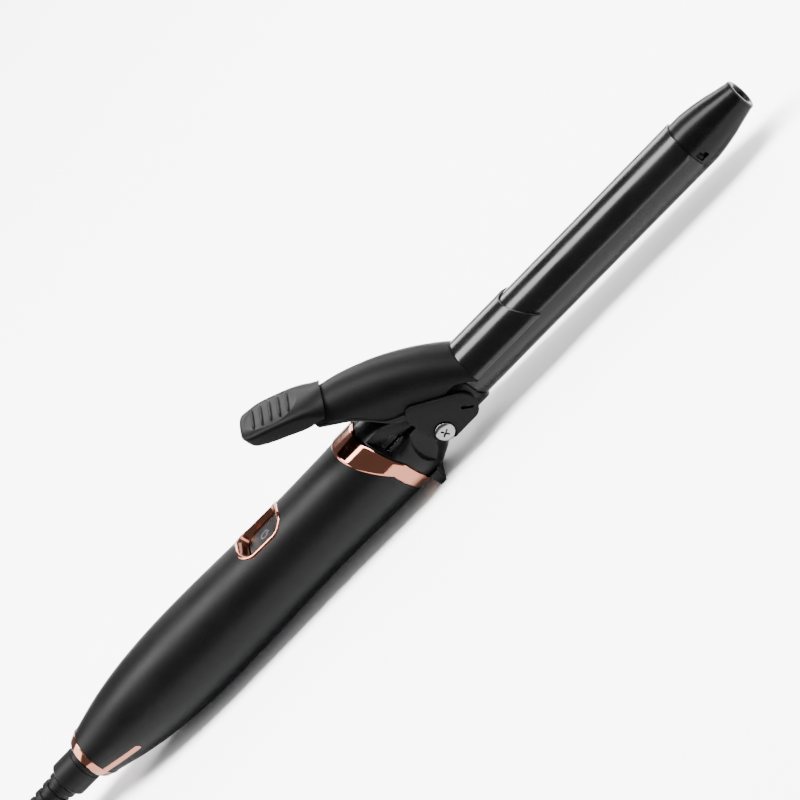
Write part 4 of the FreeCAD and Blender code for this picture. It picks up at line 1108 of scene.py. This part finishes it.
def pad_point(back, c, q):
    """A point of the thumb cap's skin; c and q are the cosine and sine of its turn round the section."""
    crest, under, half, rise = cubic(PAD, back)
    waist = crest - rise
    power = (0.62 + 0.38 * min(1.0, max(0.0, (rise - 3.0) / 6.6))) if q > 0 else 0.3
    side = half * math.copysign(abs(c) ** power, c)
    if q > 0:
        height = waist + rise * q**power - pad_dish(back, side)
    else:
        height = waist - (waist - under) * abs(q) ** power
    return Vector((LEVER_FRONT - back * MM, side * MM, AXIS_Z + height * MM))


def rounded_bar(name, radius, half_y, around=12, along=21):
    """A bar across the iron with rounded ends, at the origin, for a row to copy."""
    rings = []
    for share in spread(-1.0, 1.0, along):
        taper = max(0.05, (1 - abs(share) ** 5) ** 0.5)
        rings.append([Vector((x, share * half_y, z)) for x, z in circle(radius * taper, around)])
    return plain(name, *tube_of(rings))


def row_group():
    """A node tree that sets copies of a piece along a line, turned to follow it."""
    name = "Row along a line"
    if name in bpy.data.node_groups:
        return bpy.data.node_groups[name]
    tree = new_group(
        name,
        "GeometryNodeTree",
        (
            ("Line", "Geometry", None),
            ("Piece", "Object", None),
            ("Count", "Int", 5),
            ("Last size", "Float", 1.0),
            ("Material", "Material", None),
        ),
        (("Row", "Geometry"),),
    )
    node = tree.nodes.new
    given = node("NodeGroupInput")
    result = node("NodeGroupOutput")
    curve = node("GeometryNodeMeshToCurve")
    spaced = node("GeometryNodeResampleCurve")
    piece = node("GeometryNodeObjectInfo")
    tangent = node("GeometryNodeInputTangent")
    turned = node("FunctionNodeAlignRotationToVector")
    turned.axis = "X"
    along = node("GeometryNodeSplineParameter")
    scale = node("ShaderNodeMapRange")
    set_inputs(scale, {"To Min": 1.0})
    copies = node("GeometryNodeInstanceOnPoints")
    real = node("GeometryNodeRealizeInstances")
    coat = node("GeometryNodeSetMaterial")
    join(
        tree,
        (given, "Line", curve, "Mesh"),
        (curve, "Curve", spaced, "Curve"),
        (given, "Count", spaced, "Count"),
        (given, "Piece", piece, "Object"),
        (tangent, "Tangent", turned, "Vector"),
        (along, "Factor", scale, "Value"),
        (given, "Last size", scale, "To Max"),
        (spaced, "Curve", copies, "Points"),
        (piece, "Geometry", copies, "Instance"),
        (turned, "Rotation", copies, "Rotation"),
        (scale, "Result", copies, "Scale"),
        (copies, "Instances", real, "Geometry"),
        (real, "Geometry", coat, "Geometry"),
        (given, "Material", coat, "Material"),
        (coat, "Geometry", result, "Row"),
    )
    return tree


def row_along(name, path, piece, count, last_size, material):
    """Copies of a piece along a path, as plain mesh; the piece itself is thrown away."""
    mesh = bpy.data.meshes.new(name)
    mesh.from_pydata([tuple(p) for p in path], [(k, k + 1) for k in range(len(path) - 1)], [])
    row = add_object(name, mesh)
    modifier = row.modifiers.new("Row", "NODES")
    modifier.node_group = row_group()
    given = {
        item.name: item.identifier
        for item in modifier.node_group.interface.items_tree
        if item.item_type == "SOCKET" and item.in_out == "INPUT"
    }
    modifier[given["Piece"]] = piece
    modifier[given["Count"]] = count
    modifier[given["Last size"]] = last_size
    modifier[given["Material"]] = material
    settle(row)
    bpy.data.objects.remove(piece)
    return row


def finish_row(row, name, material, body):
    """Make a row's mesh into a finished piece."""
    mesh = row.data
    bpy.data.objects.remove(row)
    return dress(mesh, name, material, body, smooth=60)


# The hinge plate's dished eye, and the lean of its slot.
DISH_R = 4.2 * MM
EYE_R = 2.58 * MM
SLOT_LEAN = math.radians(40)


class IRON_OT_lever(bpy.types.Operator):
    """Make the clamp lever, its thumb rest and its hinge plates"""

    bl_idname = "iron.lever"
    bl_label = "Clamp lever"

    def execute(self, context):
        self.channel()
        self.strips()
        self.thumb()
        self.plates()
        return {"FINISHED"}

    def channel(self):
        """The lever's body: a channel that is open underneath."""
        outer, inner = [], []
        wall = 1.8
        for back in spread(0.0, 47.0, 70):
            crest, edge, half = lever_station(back)
            x = LEVER_FRONT - back * MM
            fade = min(1.0, back / 5.0)
            thick = (1.0 + (wall - 1.0) * fade) * MM
            outer.append(arch_row(x, crest, half, edge))
            inner.append(arch_row(x, crest - thick, half - thick, edge))
        black = finish("moulded_black")
        walls = shell(outer, inner)
        mesh_object("lever_channel", *walls, black, "lever", ["lever_body"], "lever_black", bevel=0.2 * MM)

    def strips(self):
        """A raised lip along each lower edge, from the hinge plate back to the thumb rest."""
        verts, faces = [], []
        for side in (-1, 1):
            rings = []
            for back in spread(24.5, 46.5, 36):
                _, edge, half = lever_station(back)
                x = LEVER_FRONT - back * MM
                fade = min(1.0, (47.5 - back) / 6.0)
                out = (0.2 + 1.2 * max(0.0, 1 - (back - 24.5) / 9.0)) * MM
                tall = (1.9 - 0.6 * (1 - fade)) * MM
                ring = []
                for y, z in ((-0.5 * MM, 0.0), (out, -0.02 * MM), (out, tall * 0.85), (-0.5 * MM, tall)):
                    ring.append(Vector((x, side * (half + y), AXIS_Z + edge + z)))
                rings.append(ring)
            add_to(verts, faces, *tube_of(rings))
        black = finish("plate_black")
        mesh_object("lever_edge_strips", verts, faces, black, "lever", slot="plate_black", bevel=0.2 * MM)

    def thumb(self):
        """A cap over the lever's end: its front lip slants, its top flattens into a shallow dish."""
        rings = []
        around = 80
        slant = 9.2
        for share in spread(0.0, 1.0, 100):
            ring = []
            for k in range(around):
                angle = 2 * math.pi * (k + 0.5) / around
                c, q = math.cos(angle), math.sin(angle)
                depth = (1 - q) / 2
                back = PAD[0][0] + slant * depth + (PAD[-1][0] - PAD[0][0] - slant * depth) * share
                ring.append(pad_point(back, c, q))
            rings.append(ring)
        mesh_object(
            "thumb_pad",
            *tube_of(rings),
            finish("thumb_black"),
            "lever",
            ["thumb_rest"],
            "thumb_black",
            smooth=50,
            bevel=0.3 * MM,
            segments=3,
        )
        path = []
        count = sizes().rib_count
        reach = sizes().rib_pitch / MM * (count - 1) / 2
        for back in spread(PAD_MIDDLE - reach, PAD_MIDDLE + reach, count):
            path.append(pad_point(back, 0.0, 1.0))
        bar = rounded_bar("bar", RIB_R, RIB_HALF)
        ribs = row_along("ribs", path, bar, count, 1.0, finish("thumb_black"))
        finish_row(ribs, "thumb_ribs", finish("thumb_black"), "lever")

    def plates(self):
        """Hinge plates with a dished eye for the screw and a small slanted slot."""
        corners = [
            (-4.2, 0.0), (-3.0, -3.0), (0.0, -4.2), (12.5, -4.2), (15.4, -1.4), (15.9, 3.2), (14.2, 6.0),
            (-1.7, 16.6), (-5.4, 13.1),
        ]
        outline = soften([(x * MM, z * MM) for x, z in corners], 2.4 * MM, 8)
        beyond = PLATE_OUT + 3 * MM
        slot = []
        for px, pz in rounded_outline(4.4 * MM, 1.4 * MM, 0.69 * MM, 6):
            x = px * math.cos(SLOT_LEAN) + pz * math.sin(SLOT_LEAN)
            z = -px * math.sin(SLOT_LEAN) + pz * math.cos(SLOT_LEAN)
            slot.append((11.9 * MM + x, 0.8 * MM + z))
        for side, label in ((-1, "left"), (1, "right")):
            rings = [at_pivot(outline, side * y) for y in (PLATE_IN, PLATE_OUT)]
            piece = mesh_object(
                label + "_plate", *tube_of(rings), finish("plate_black"), None, bevel=0.35 * MM, segments=3
            )
            cutters = []
            for radius, start in ((DISH_R, PLATE_OUT - 0.9 * MM), (EYE_R, PLATE_IN - 1 * MM)):
                rings = [at_pivot(circle(radius, 48), side * y) for y in (start, beyond)]
                cutters.append(plain("eye", *tube_of(rings)))
            rings = [at_pivot(slot, side * y) for y in (PLATE_IN - 1 * MM, beyond)]
            cutters.append(plain("slot", *tube_of(rings)))
            cut_away(piece, cutters)
            place_cut(piece, "lever", label + "_hinge_plate")


class IRON_OT_screws(bpy.types.Operator):
    """Make the pivot screws with their domed, cross-recessed heads"""

    bl_idname = "iron.screws"
    bl_label = "Pivot screws"

    def execute(self, context):
        verts, faces = [], []
        top = high("pivot_screws").y
        head = 1.4 * MM
        radius = 3.55 * MM
        for side in (-1, 1):
            outline = [(top - head, radius - 0.1 * MM), (top - head + 0.25 * MM, radius)]
            for k in range(9):
                angle = math.radians(10 * k)
                rise = 0.45 * MM + 0.95 * MM * math.sin(angle)
                outline.append((top - head + rise, radius * (0.35 + 0.65 * math.cos(angle))))
            outline.append((top, 0.4 * MM))
            shank = [(top - 6 * MM, 1.5 * MM), (top - head, 1.5 * MM)]
            rings = [at_pivot(circle(r, 64), side * y) for y, r in shank + outline]
            screw = plain("screw", *tube_of(rings))
            crosses = []
            for turn in (25, 115):
                lean = math.radians(turn)
                rings = []
                for y, share in ((top - 1.05 * MM, 0.45), (top + 0.5 * MM, 1.1)):
                    ring = []
                    for ax, az in ((-1.9, -0.38), (1.9, -0.38), (1.9, 0.38), (-1.9, 0.38)):
                        x = (ax * math.cos(lean) - az * math.sin(lean)) * share * MM
                        z = (ax * math.sin(lean) + az * math.cos(lean)) * share * MM
                        ring.append((x, z))
                    rings.append(at_pivot(ring, side * y))
                crosses.append(plain("cross", *tube_of(rings)))
            cut_away(screw, crosses)
            add_to(verts, faces, *taken_from(screw))
        steel = finish("screw_steel")
        mesh_object(
            "hinge_screws", verts, faces, steel, "handle", ["pivot_screws"], "screw_steel", smooth=32
        )
        return {"FINISHED"}


# The cord's route, in metres: out of its guard, round in its hank and from the hank to the plug.
CORD_R = 0.0028
HANK_NEAR = -0.2340
HANK_FAR = -0.2830
HANK_Y = -0.0084
INNER_FOLD = 0.0170
OUTER_FOLD = 0.0226
LEAD = [
    (-0.1983, 0.0, 0.0168),
    (-0.2043, 0.0, 0.0168),
    (-0.2246, 0.0142, 0.0194),
]
TAIL = [
    (-0.2790, 0.0142, 0.0028),
    (-0.2950, 0.0048, 0.0064),
    (-0.3110, 0.0048, 0.0068),
]
# Bore of the collar and guard, and radius of the collar's shaft.
CORD_WAY = 3.1 * MM
SHAFT_R = 4.9 * MM
# Rings on the guard, and the size of the last one, beside the first.
GUARD_RINGS = 6
LAST_RING_SIZE = 0.74
# Each full turn of the hank: its fold radius and the layer it lies in, from the top down.
TURNS = (
    (OUTER_FOLD, 3),
    (INNER_FOLD, 3),
    (INNER_FOLD, 2),
    (OUTER_FOLD, 2),
    (OUTER_FOLD, 1),
    (INNER_FOLD, 1),
    (INNER_FOLD, 0),
    (OUTER_FOLD, 0),
)
RUN_SHARES = (0.15, 0.5, 0.85)
FOLD_STEPS = 8


def layer_height(layer):
    """Height of the cord's middle in a layer of the hank, counted from the table."""
    return CORD_R + 2 * CORD_R * layer


def hank_points():
    """Folded turns that lie beside and on each other, a diameter apart."""
    points = []
    spare = 1 / math.cos(math.pi / FOLD_STEPS / 2)
    for index, (fold, layer) in enumerate(TURNS):
        height = layer_height(layer)
        for share in RUN_SHARES:
            points.append((HANK_NEAR + (HANK_FAR - HANK_NEAR) * share, HANK_Y + fold, height))
        if index == len(TURNS) - 1:
            break
        for step in range(FOLD_STEPS):
            angle = math.pi / 2 + math.pi * (step + 0.5) / FOLD_STEPS
            x = HANK_FAR + fold * spare * math.cos(angle)
            points.append((x, HANK_Y + fold * spare * math.sin(angle), height))
        for share in reversed(RUN_SHARES):
            points.append((HANK_NEAR + (HANK_FAR - HANK_NEAR) * share, HANK_Y - fold, height))
        next_fold, next_layer = TURNS[index + 1]
        middle = HANK_Y + (next_fold - fold) / 2
        wide = (fold + next_fold) / 2 * spare
        bulge = 0.005 if layer != next_layer and fold == OUTER_FOLD else 0.0
        reach = max(fold, next_fold) * spare + bulge
        for step in range(FOLD_STEPS):
            share = (step + 0.5) / FOLD_STEPS
            angle = -math.pi / 2 + math.pi * share
            rise = height + (layer_height(next_layer) - height) * share
            points.append((HANK_NEAR + reach * math.cos(angle), middle + wide * math.sin(angle), rise))
    return points


class IRON_OT_cord(bpy.types.Operator):
    """Make the cord, its guard and collar, the tie and the plug"""

    bl_idname = "iron.cord"
    bl_label = "Cord and plug"

    def execute(self, context):
        route = LEAD + hank_points() + TAIL
        curve = bpy.data.curves.new("mains_cord", "CURVE")
        curve.dimensions = "3D"
        line = curve.splines.new("NURBS")
        line.points.add(len(route) - 1)
        for point, place in zip(line.points, route):
            point.co = (*place, 1.0)
        line.order_u = 3
        line.use_endpoint_u = True
        line.resolution_u = 4
        curve.bevel_depth = sizes().cord_diameter / 2
        curve.bevel_resolution = 5
        curve.use_fill_caps = True
        curve.materials.append(finish("rubber"))
        cord = add_object("mains_cord", curve)
        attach(cord, "handle")
        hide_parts("cord_lead", "cord_coil", "cord_tail")
        self.collar()
        plug = self.plug()
        tie = self.tie()
        return {"FINISHED"}

    def collar(self):
        """The turning collar with its groove, and the guard with a row of rings that grow smaller."""
        face = low("rear_trim_ring").x - 0.3 * MM
        radius = 7.2 * MM
        groove = radius - 0.25 * MM
        shaft_end = HANDLE_BACK + 4 * MM
        outline = [
            (COLLAR_BACK, CORD_WAY),
            (COLLAR_BACK, radius - 0.6 * MM),
            (COLLAR_BACK + 0.6 * MM, radius),
            (face - 2.2 * MM, radius),
            (face - 2.0 * MM, groove),
            (face - 1.6 * MM, groove),
            (face - 1.4 * MM, radius),
            (face - 0.2 * MM, radius),
            (face, radius - 0.2 * MM),
            (face, SHAFT_R),
            (shaft_end, SHAFT_R),
            (shaft_end, CORD_WAY),
        ]
        rubber = finish("rubber")
        turned = lathe(outline, 96)
        mesh_object("cord_collar", *turned, rubber, "swivel", ["swivel_collar"], "cord_rubber", smooth=35)
        outline = [
            (RELIEF_BACK, CORD_WAY),
            (RELIEF_BACK, 3.5 * MM),
            (COLLAR_BACK, SHAFT_R),
            (COLLAR_BACK, CORD_WAY),
        ]
        turned = lathe(soften(outline, 0.15 * MM, 3), 64)
        mesh_object("cord_guard", *turned, rubber, "swivel", ["strain_relief"], "cord_rubber", smooth=35)
        half = 1.25 * MM
        profile = soften(
            [(-half, 4.6 * MM), (-half, 5.55 * MM), (half, 5.6 * MM), (half, 4.6 * MM)], 0.3 * MM, 3
        )
        verts, faces = lathe(profile, 64)
        ring = plain("ring", [p - Vector((0, 0, AXIS_Z)) for p in verts], faces)
        path = [Vector((COLLAR_BACK - 2.0 * MM, 0, AXIS_Z)), Vector((RELIEF_BACK + 1.4 * MM, 0, AXIS_Z))]
        rings = row_along("rings", path, ring, GUARD_RINGS, LAST_RING_SIZE, rubber)
        finish_row(rings, "guard_rings", rubber, "swivel")

    def plug(self):
        """A flat two-pin plug's moulding: a rounded body and a tapered nose."""
        a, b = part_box("plug_body")
        middle = (a + b) / 2
        length = b.x - a.x
        body = length * 0.75
        outline = rounded_outline(b.y - a.y, b.z - a.z, 3.6 * MM, 6)
        rings = []
        for share, size in (
            (0.0, 0.9), (0.02, 0.97), (0.06, 1.0), (0.55, 1.0), (0.8, 0.95), (0.95, 0.84), (1.0, 0.75)
        ):
            x = a.x + body * share
            rings.append([Vector((x, middle.y + px * size, middle.z + py * size)) for px, py in outline])
        for share, wide, tall in ((0.08, 7.2, 5.0), (0.35, 5.4, 4.6), (0.7, 4.5, 4.2), (1.0, 4.0, 3.9)):
            x = a.x + body + (length - body) * share
            ring = rounded_outline(2 * wide * MM, 2 * tall * MM, min(wide, tall) * 0.96 * MM, 6)
            rings.append([Vector((x, middle.y + px, middle.z + py)) for px, py in ring])
        skin = tube_of(rings)
        rubber = finish("rubber")
        return mesh_object(
            "plug_moulding", *skin, rubber, "handle", ["plug_body"], "cord_rubber", bevel=0.4 * MM
        )

    def tie(self):
        """A strap round the hank's outer run, open where it meets the table."""
        a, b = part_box("cord_tie")
        thick = 0.8 * MM
        rows = []
        inner_rows = []
        half = (b.y - a.y) / 2
        centre = (a.y + b.y) / 2
        corner = 2.4 * MM
        path = [(-half, a.z), (-half, b.z - corner)]
        for k in range(1, 8):
            angle = math.radians(180 - 90 * k / 8)
            path.append(
                (-half + corner + corner * math.cos(angle), b.z - corner + corner * math.sin(angle))
            )
        path += [(-y, z) for y, z in reversed(path)]
        share_y = (half - thick) / half
        share_z = (b.z - thick - a.z) / (b.z - a.z)
        for y, z in path:
            rows.append([Vector((x, centre + y, z)) for x in spread(a.x, b.x, 5)])
            inner_rows.append(
                [Vector((x, centre + y * share_y, a.z + (z - a.z) * share_z)) for x in spread(a.x, b.x, 5)]
            )
        band = shell(rows, inner_rows)
        rubber = finish("rubber")
        return mesh_object(
            "cord_strap", *band, rubber, "handle", ["cord_tie"], "cord_rubber", bevel=0.15 * MM
        )


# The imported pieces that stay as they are, by the finish that each gets.
INNER_FINISHES = {
    "screw_steel": (
        "case_screws", "tip_screw", "board_screws", "thumb_rest_screw", "clip_rivets", "thermal_fuse",
    ),
    "ceramic": ("barrel_insulator", "ptc_heater"),
    "film": ("insulation_sleeve",),
    "aluminium": ("heater_block_upper", "heater_block_lower"),
    "housing_black": ("barrel_end_plug", "swivel_socket"),
    "board_green": ("circuit_board",),
    "button_black": ("tact_switch",),
    "lamp_red": ("indicator_lamp",),
    "wire_grey": ("lead_wires",),
    "spring_steel": ("button_spring", "pivot_bushings", "torsion_springs"),
    "pin_plating": ("swivel_contacts", "plug_pins"),
}


class IRON_OT_inside(bpy.types.Operator):
    """Give the pieces inside the iron their finishes"""

    bl_idname = "iron.inside"
    bl_label = "Inner pieces"

    def execute(self, context):
        for key, nodes in INNER_FINISHES.items():
            for node in nodes:
                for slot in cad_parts[node].material_slots:
                    slot.material = finish(key)
        return {"FINISHED"}


# The camera: distance from the iron, tilt towards the tip, fall from straight above, roll, and lens in
# millimetres. It aims this far ahead of the point on the axis at the middle's X, and this far above it.
CAMERA_DISTANCE = 1.30
CAMERA_TILT = math.radians(19.0)
CAMERA_FALL = math.radians(64.0)
CAMERA_ROLL = math.radians(45.55)
CAMERA_LENS = 172.9
MIDDLE_X = 0.006
AIM_AHEAD = 0.0089
AIM_UP = 0.0097

# Each light: name, place, length, width and power in watts. All face the origin.
LIGHTS = (
    ("overhead", (0.0, -0.02, 1.3), 2.2, 0.5, 170.0),
    ("far_side", (0.2, 1.9, 1.1), 2.0, 0.8, 90.0),
    ("tip_side", (2.0, 0.2, 1.0), 1.2, 1.2, 65.0),
    ("cord_side", (-2.0, 0.2, 1.0), 1.2, 1.2, 65.0),
)
SKY_STRENGTH = 0.5
FLOOR_HALF = 6.0


class IRON_OT_stage(bpy.types.Operator):
    """Make the floor, the lights and the camera"""

    bl_idname = "iron.stage"
    bl_label = "Stage"

    def execute(self, context):
        scene = context.scene
        mesh = bpy.data.meshes.new("floor")
        signs = ((-1, -1), (1, -1), (1, 1), (-1, 1))
        corners = [(x * FLOOR_HALF, y * FLOOR_HALF, 0.0) for x, y in signs]
        mesh.from_pydata(corners, [], [(0, 1, 2, 3)])
        floor = add_object("floor", mesh)
        floor.data.materials.append(finish("floor_paper"))
        world = bpy.data.worlds.new("Studio")
        world.use_nodes = True
        world.node_tree.nodes["Background"].inputs[0].default_value = (1, 1, 1, 1)
        world.node_tree.nodes["Background"].inputs[1].default_value = SKY_STRENGTH
        scene.world = world
        for lamp in LIGHTS:
            self.light(*lamp)
        self.camera(scene)
        return {"FINISHED"}

    def light(self, name, place, long, wide, power):
        """A soft rectangular light that faces the origin."""
        lamp = bpy.data.lights.new(name, "AREA")
        lamp.shape = "RECTANGLE"
        lamp.size = long
        lamp.size_y = wide
        lamp.energy = power
        toward = Vector(place)
        across = Vector((1, 0, 0))
        across = (across - across.project(toward)).normalized()
        up = toward.normalized().cross(across)
        turned = Matrix((across, up, toward.normalized())).transposed().to_4x4()
        add_object(name, lamp).matrix_world = Matrix.Translation(place) @ turned

    def camera(self, scene):
        """The camera, with the iron lying across its view from lower left to upper right."""
        middle = Vector((MIDDLE_X, 0.0, AXIS_Z))
        side = Vector((0, -math.sin(CAMERA_FALL), math.cos(CAMERA_FALL)))
        top = Vector((0, math.cos(CAMERA_FALL), math.sin(CAMERA_FALL)))
        along = Vector((1, 0, 0))
        toward = side * math.cos(CAMERA_TILT) + along * math.sin(CAMERA_TILT)
        ahead = along * math.cos(CAMERA_TILT) - side * math.sin(CAMERA_TILT)
        place = middle + toward * CAMERA_DISTANCE
        target = middle + ahead * AIM_AHEAD + top * AIM_UP
        back = (place - target).normalized()
        right = ahead * math.cos(CAMERA_ROLL) - top * math.sin(CAMERA_ROLL)
        right = (right - right.project(back)).normalized()
        up = back.cross(right)
        data = bpy.data.cameras.new("camera")
        data.lens = CAMERA_LENS
        data.sensor_width = 36.0
        data.clip_start = 0.05
        data.clip_end = 20.0
        view = add_object("camera", data)
        view.matrix_world = Matrix.Translation(place) @ Matrix((right, up, back)).transposed().to_4x4()
        scene.camera = view


STEPS = (
    IRON_OT_stage,
    IRON_OT_cord,
    IRON_OT_handle,
    IRON_OT_rings,
    IRON_OT_button,
    IRON_OT_housing,
    IRON_OT_barrel,
    IRON_OT_clip,
    IRON_OT_lever,
    IRON_OT_screws,
    IRON_OT_inside,
)


class IRON_PT_panel(bpy.types.Panel):
    """Lists the pieces of the iron"""

    bl_label = "Curling iron"
    bl_idname = "IRON_PT_panel"
    bl_space_type = "VIEW_3D"
    bl_region_type = "UI"
    bl_category = "Iron"

    def draw(self, context):
        for step in STEPS:
            self.layout.operator(step.bl_idname)


CLASSES = (IRON_PG_sizes, IRON_PG_colours, *STEPS, IRON_PT_panel)


def register():
    for item in CLASSES:
        bpy.utils.register_class(item)
    bpy.types.Scene.iron_sizes = bpy.props.PointerProperty(type=IRON_PG_sizes)
    bpy.types.Scene.iron_colours = bpy.props.PointerProperty(type=IRON_PG_colours)


def unregister():
    del bpy.types.Scene.iron_colours
    del bpy.types.Scene.iron_sizes
    for item in reversed(CLASSES):
        bpy.utils.unregister_class(item)


def main():
    register()
    bpy.ops.iron.stage()
    bpy.ops.iron.cord()
    bpy.ops.iron.handle()
    bpy.ops.iron.rings()
    bpy.ops.iron.button()
    bpy.ops.iron.housing()
    bpy.ops.iron.barrel()
    bpy.ops.iron.clip()
    bpy.ops.iron.lever()
    bpy.ops.iron.screws()
    bpy.ops.iron.inside()


if __name__ == "__main__":
    main()
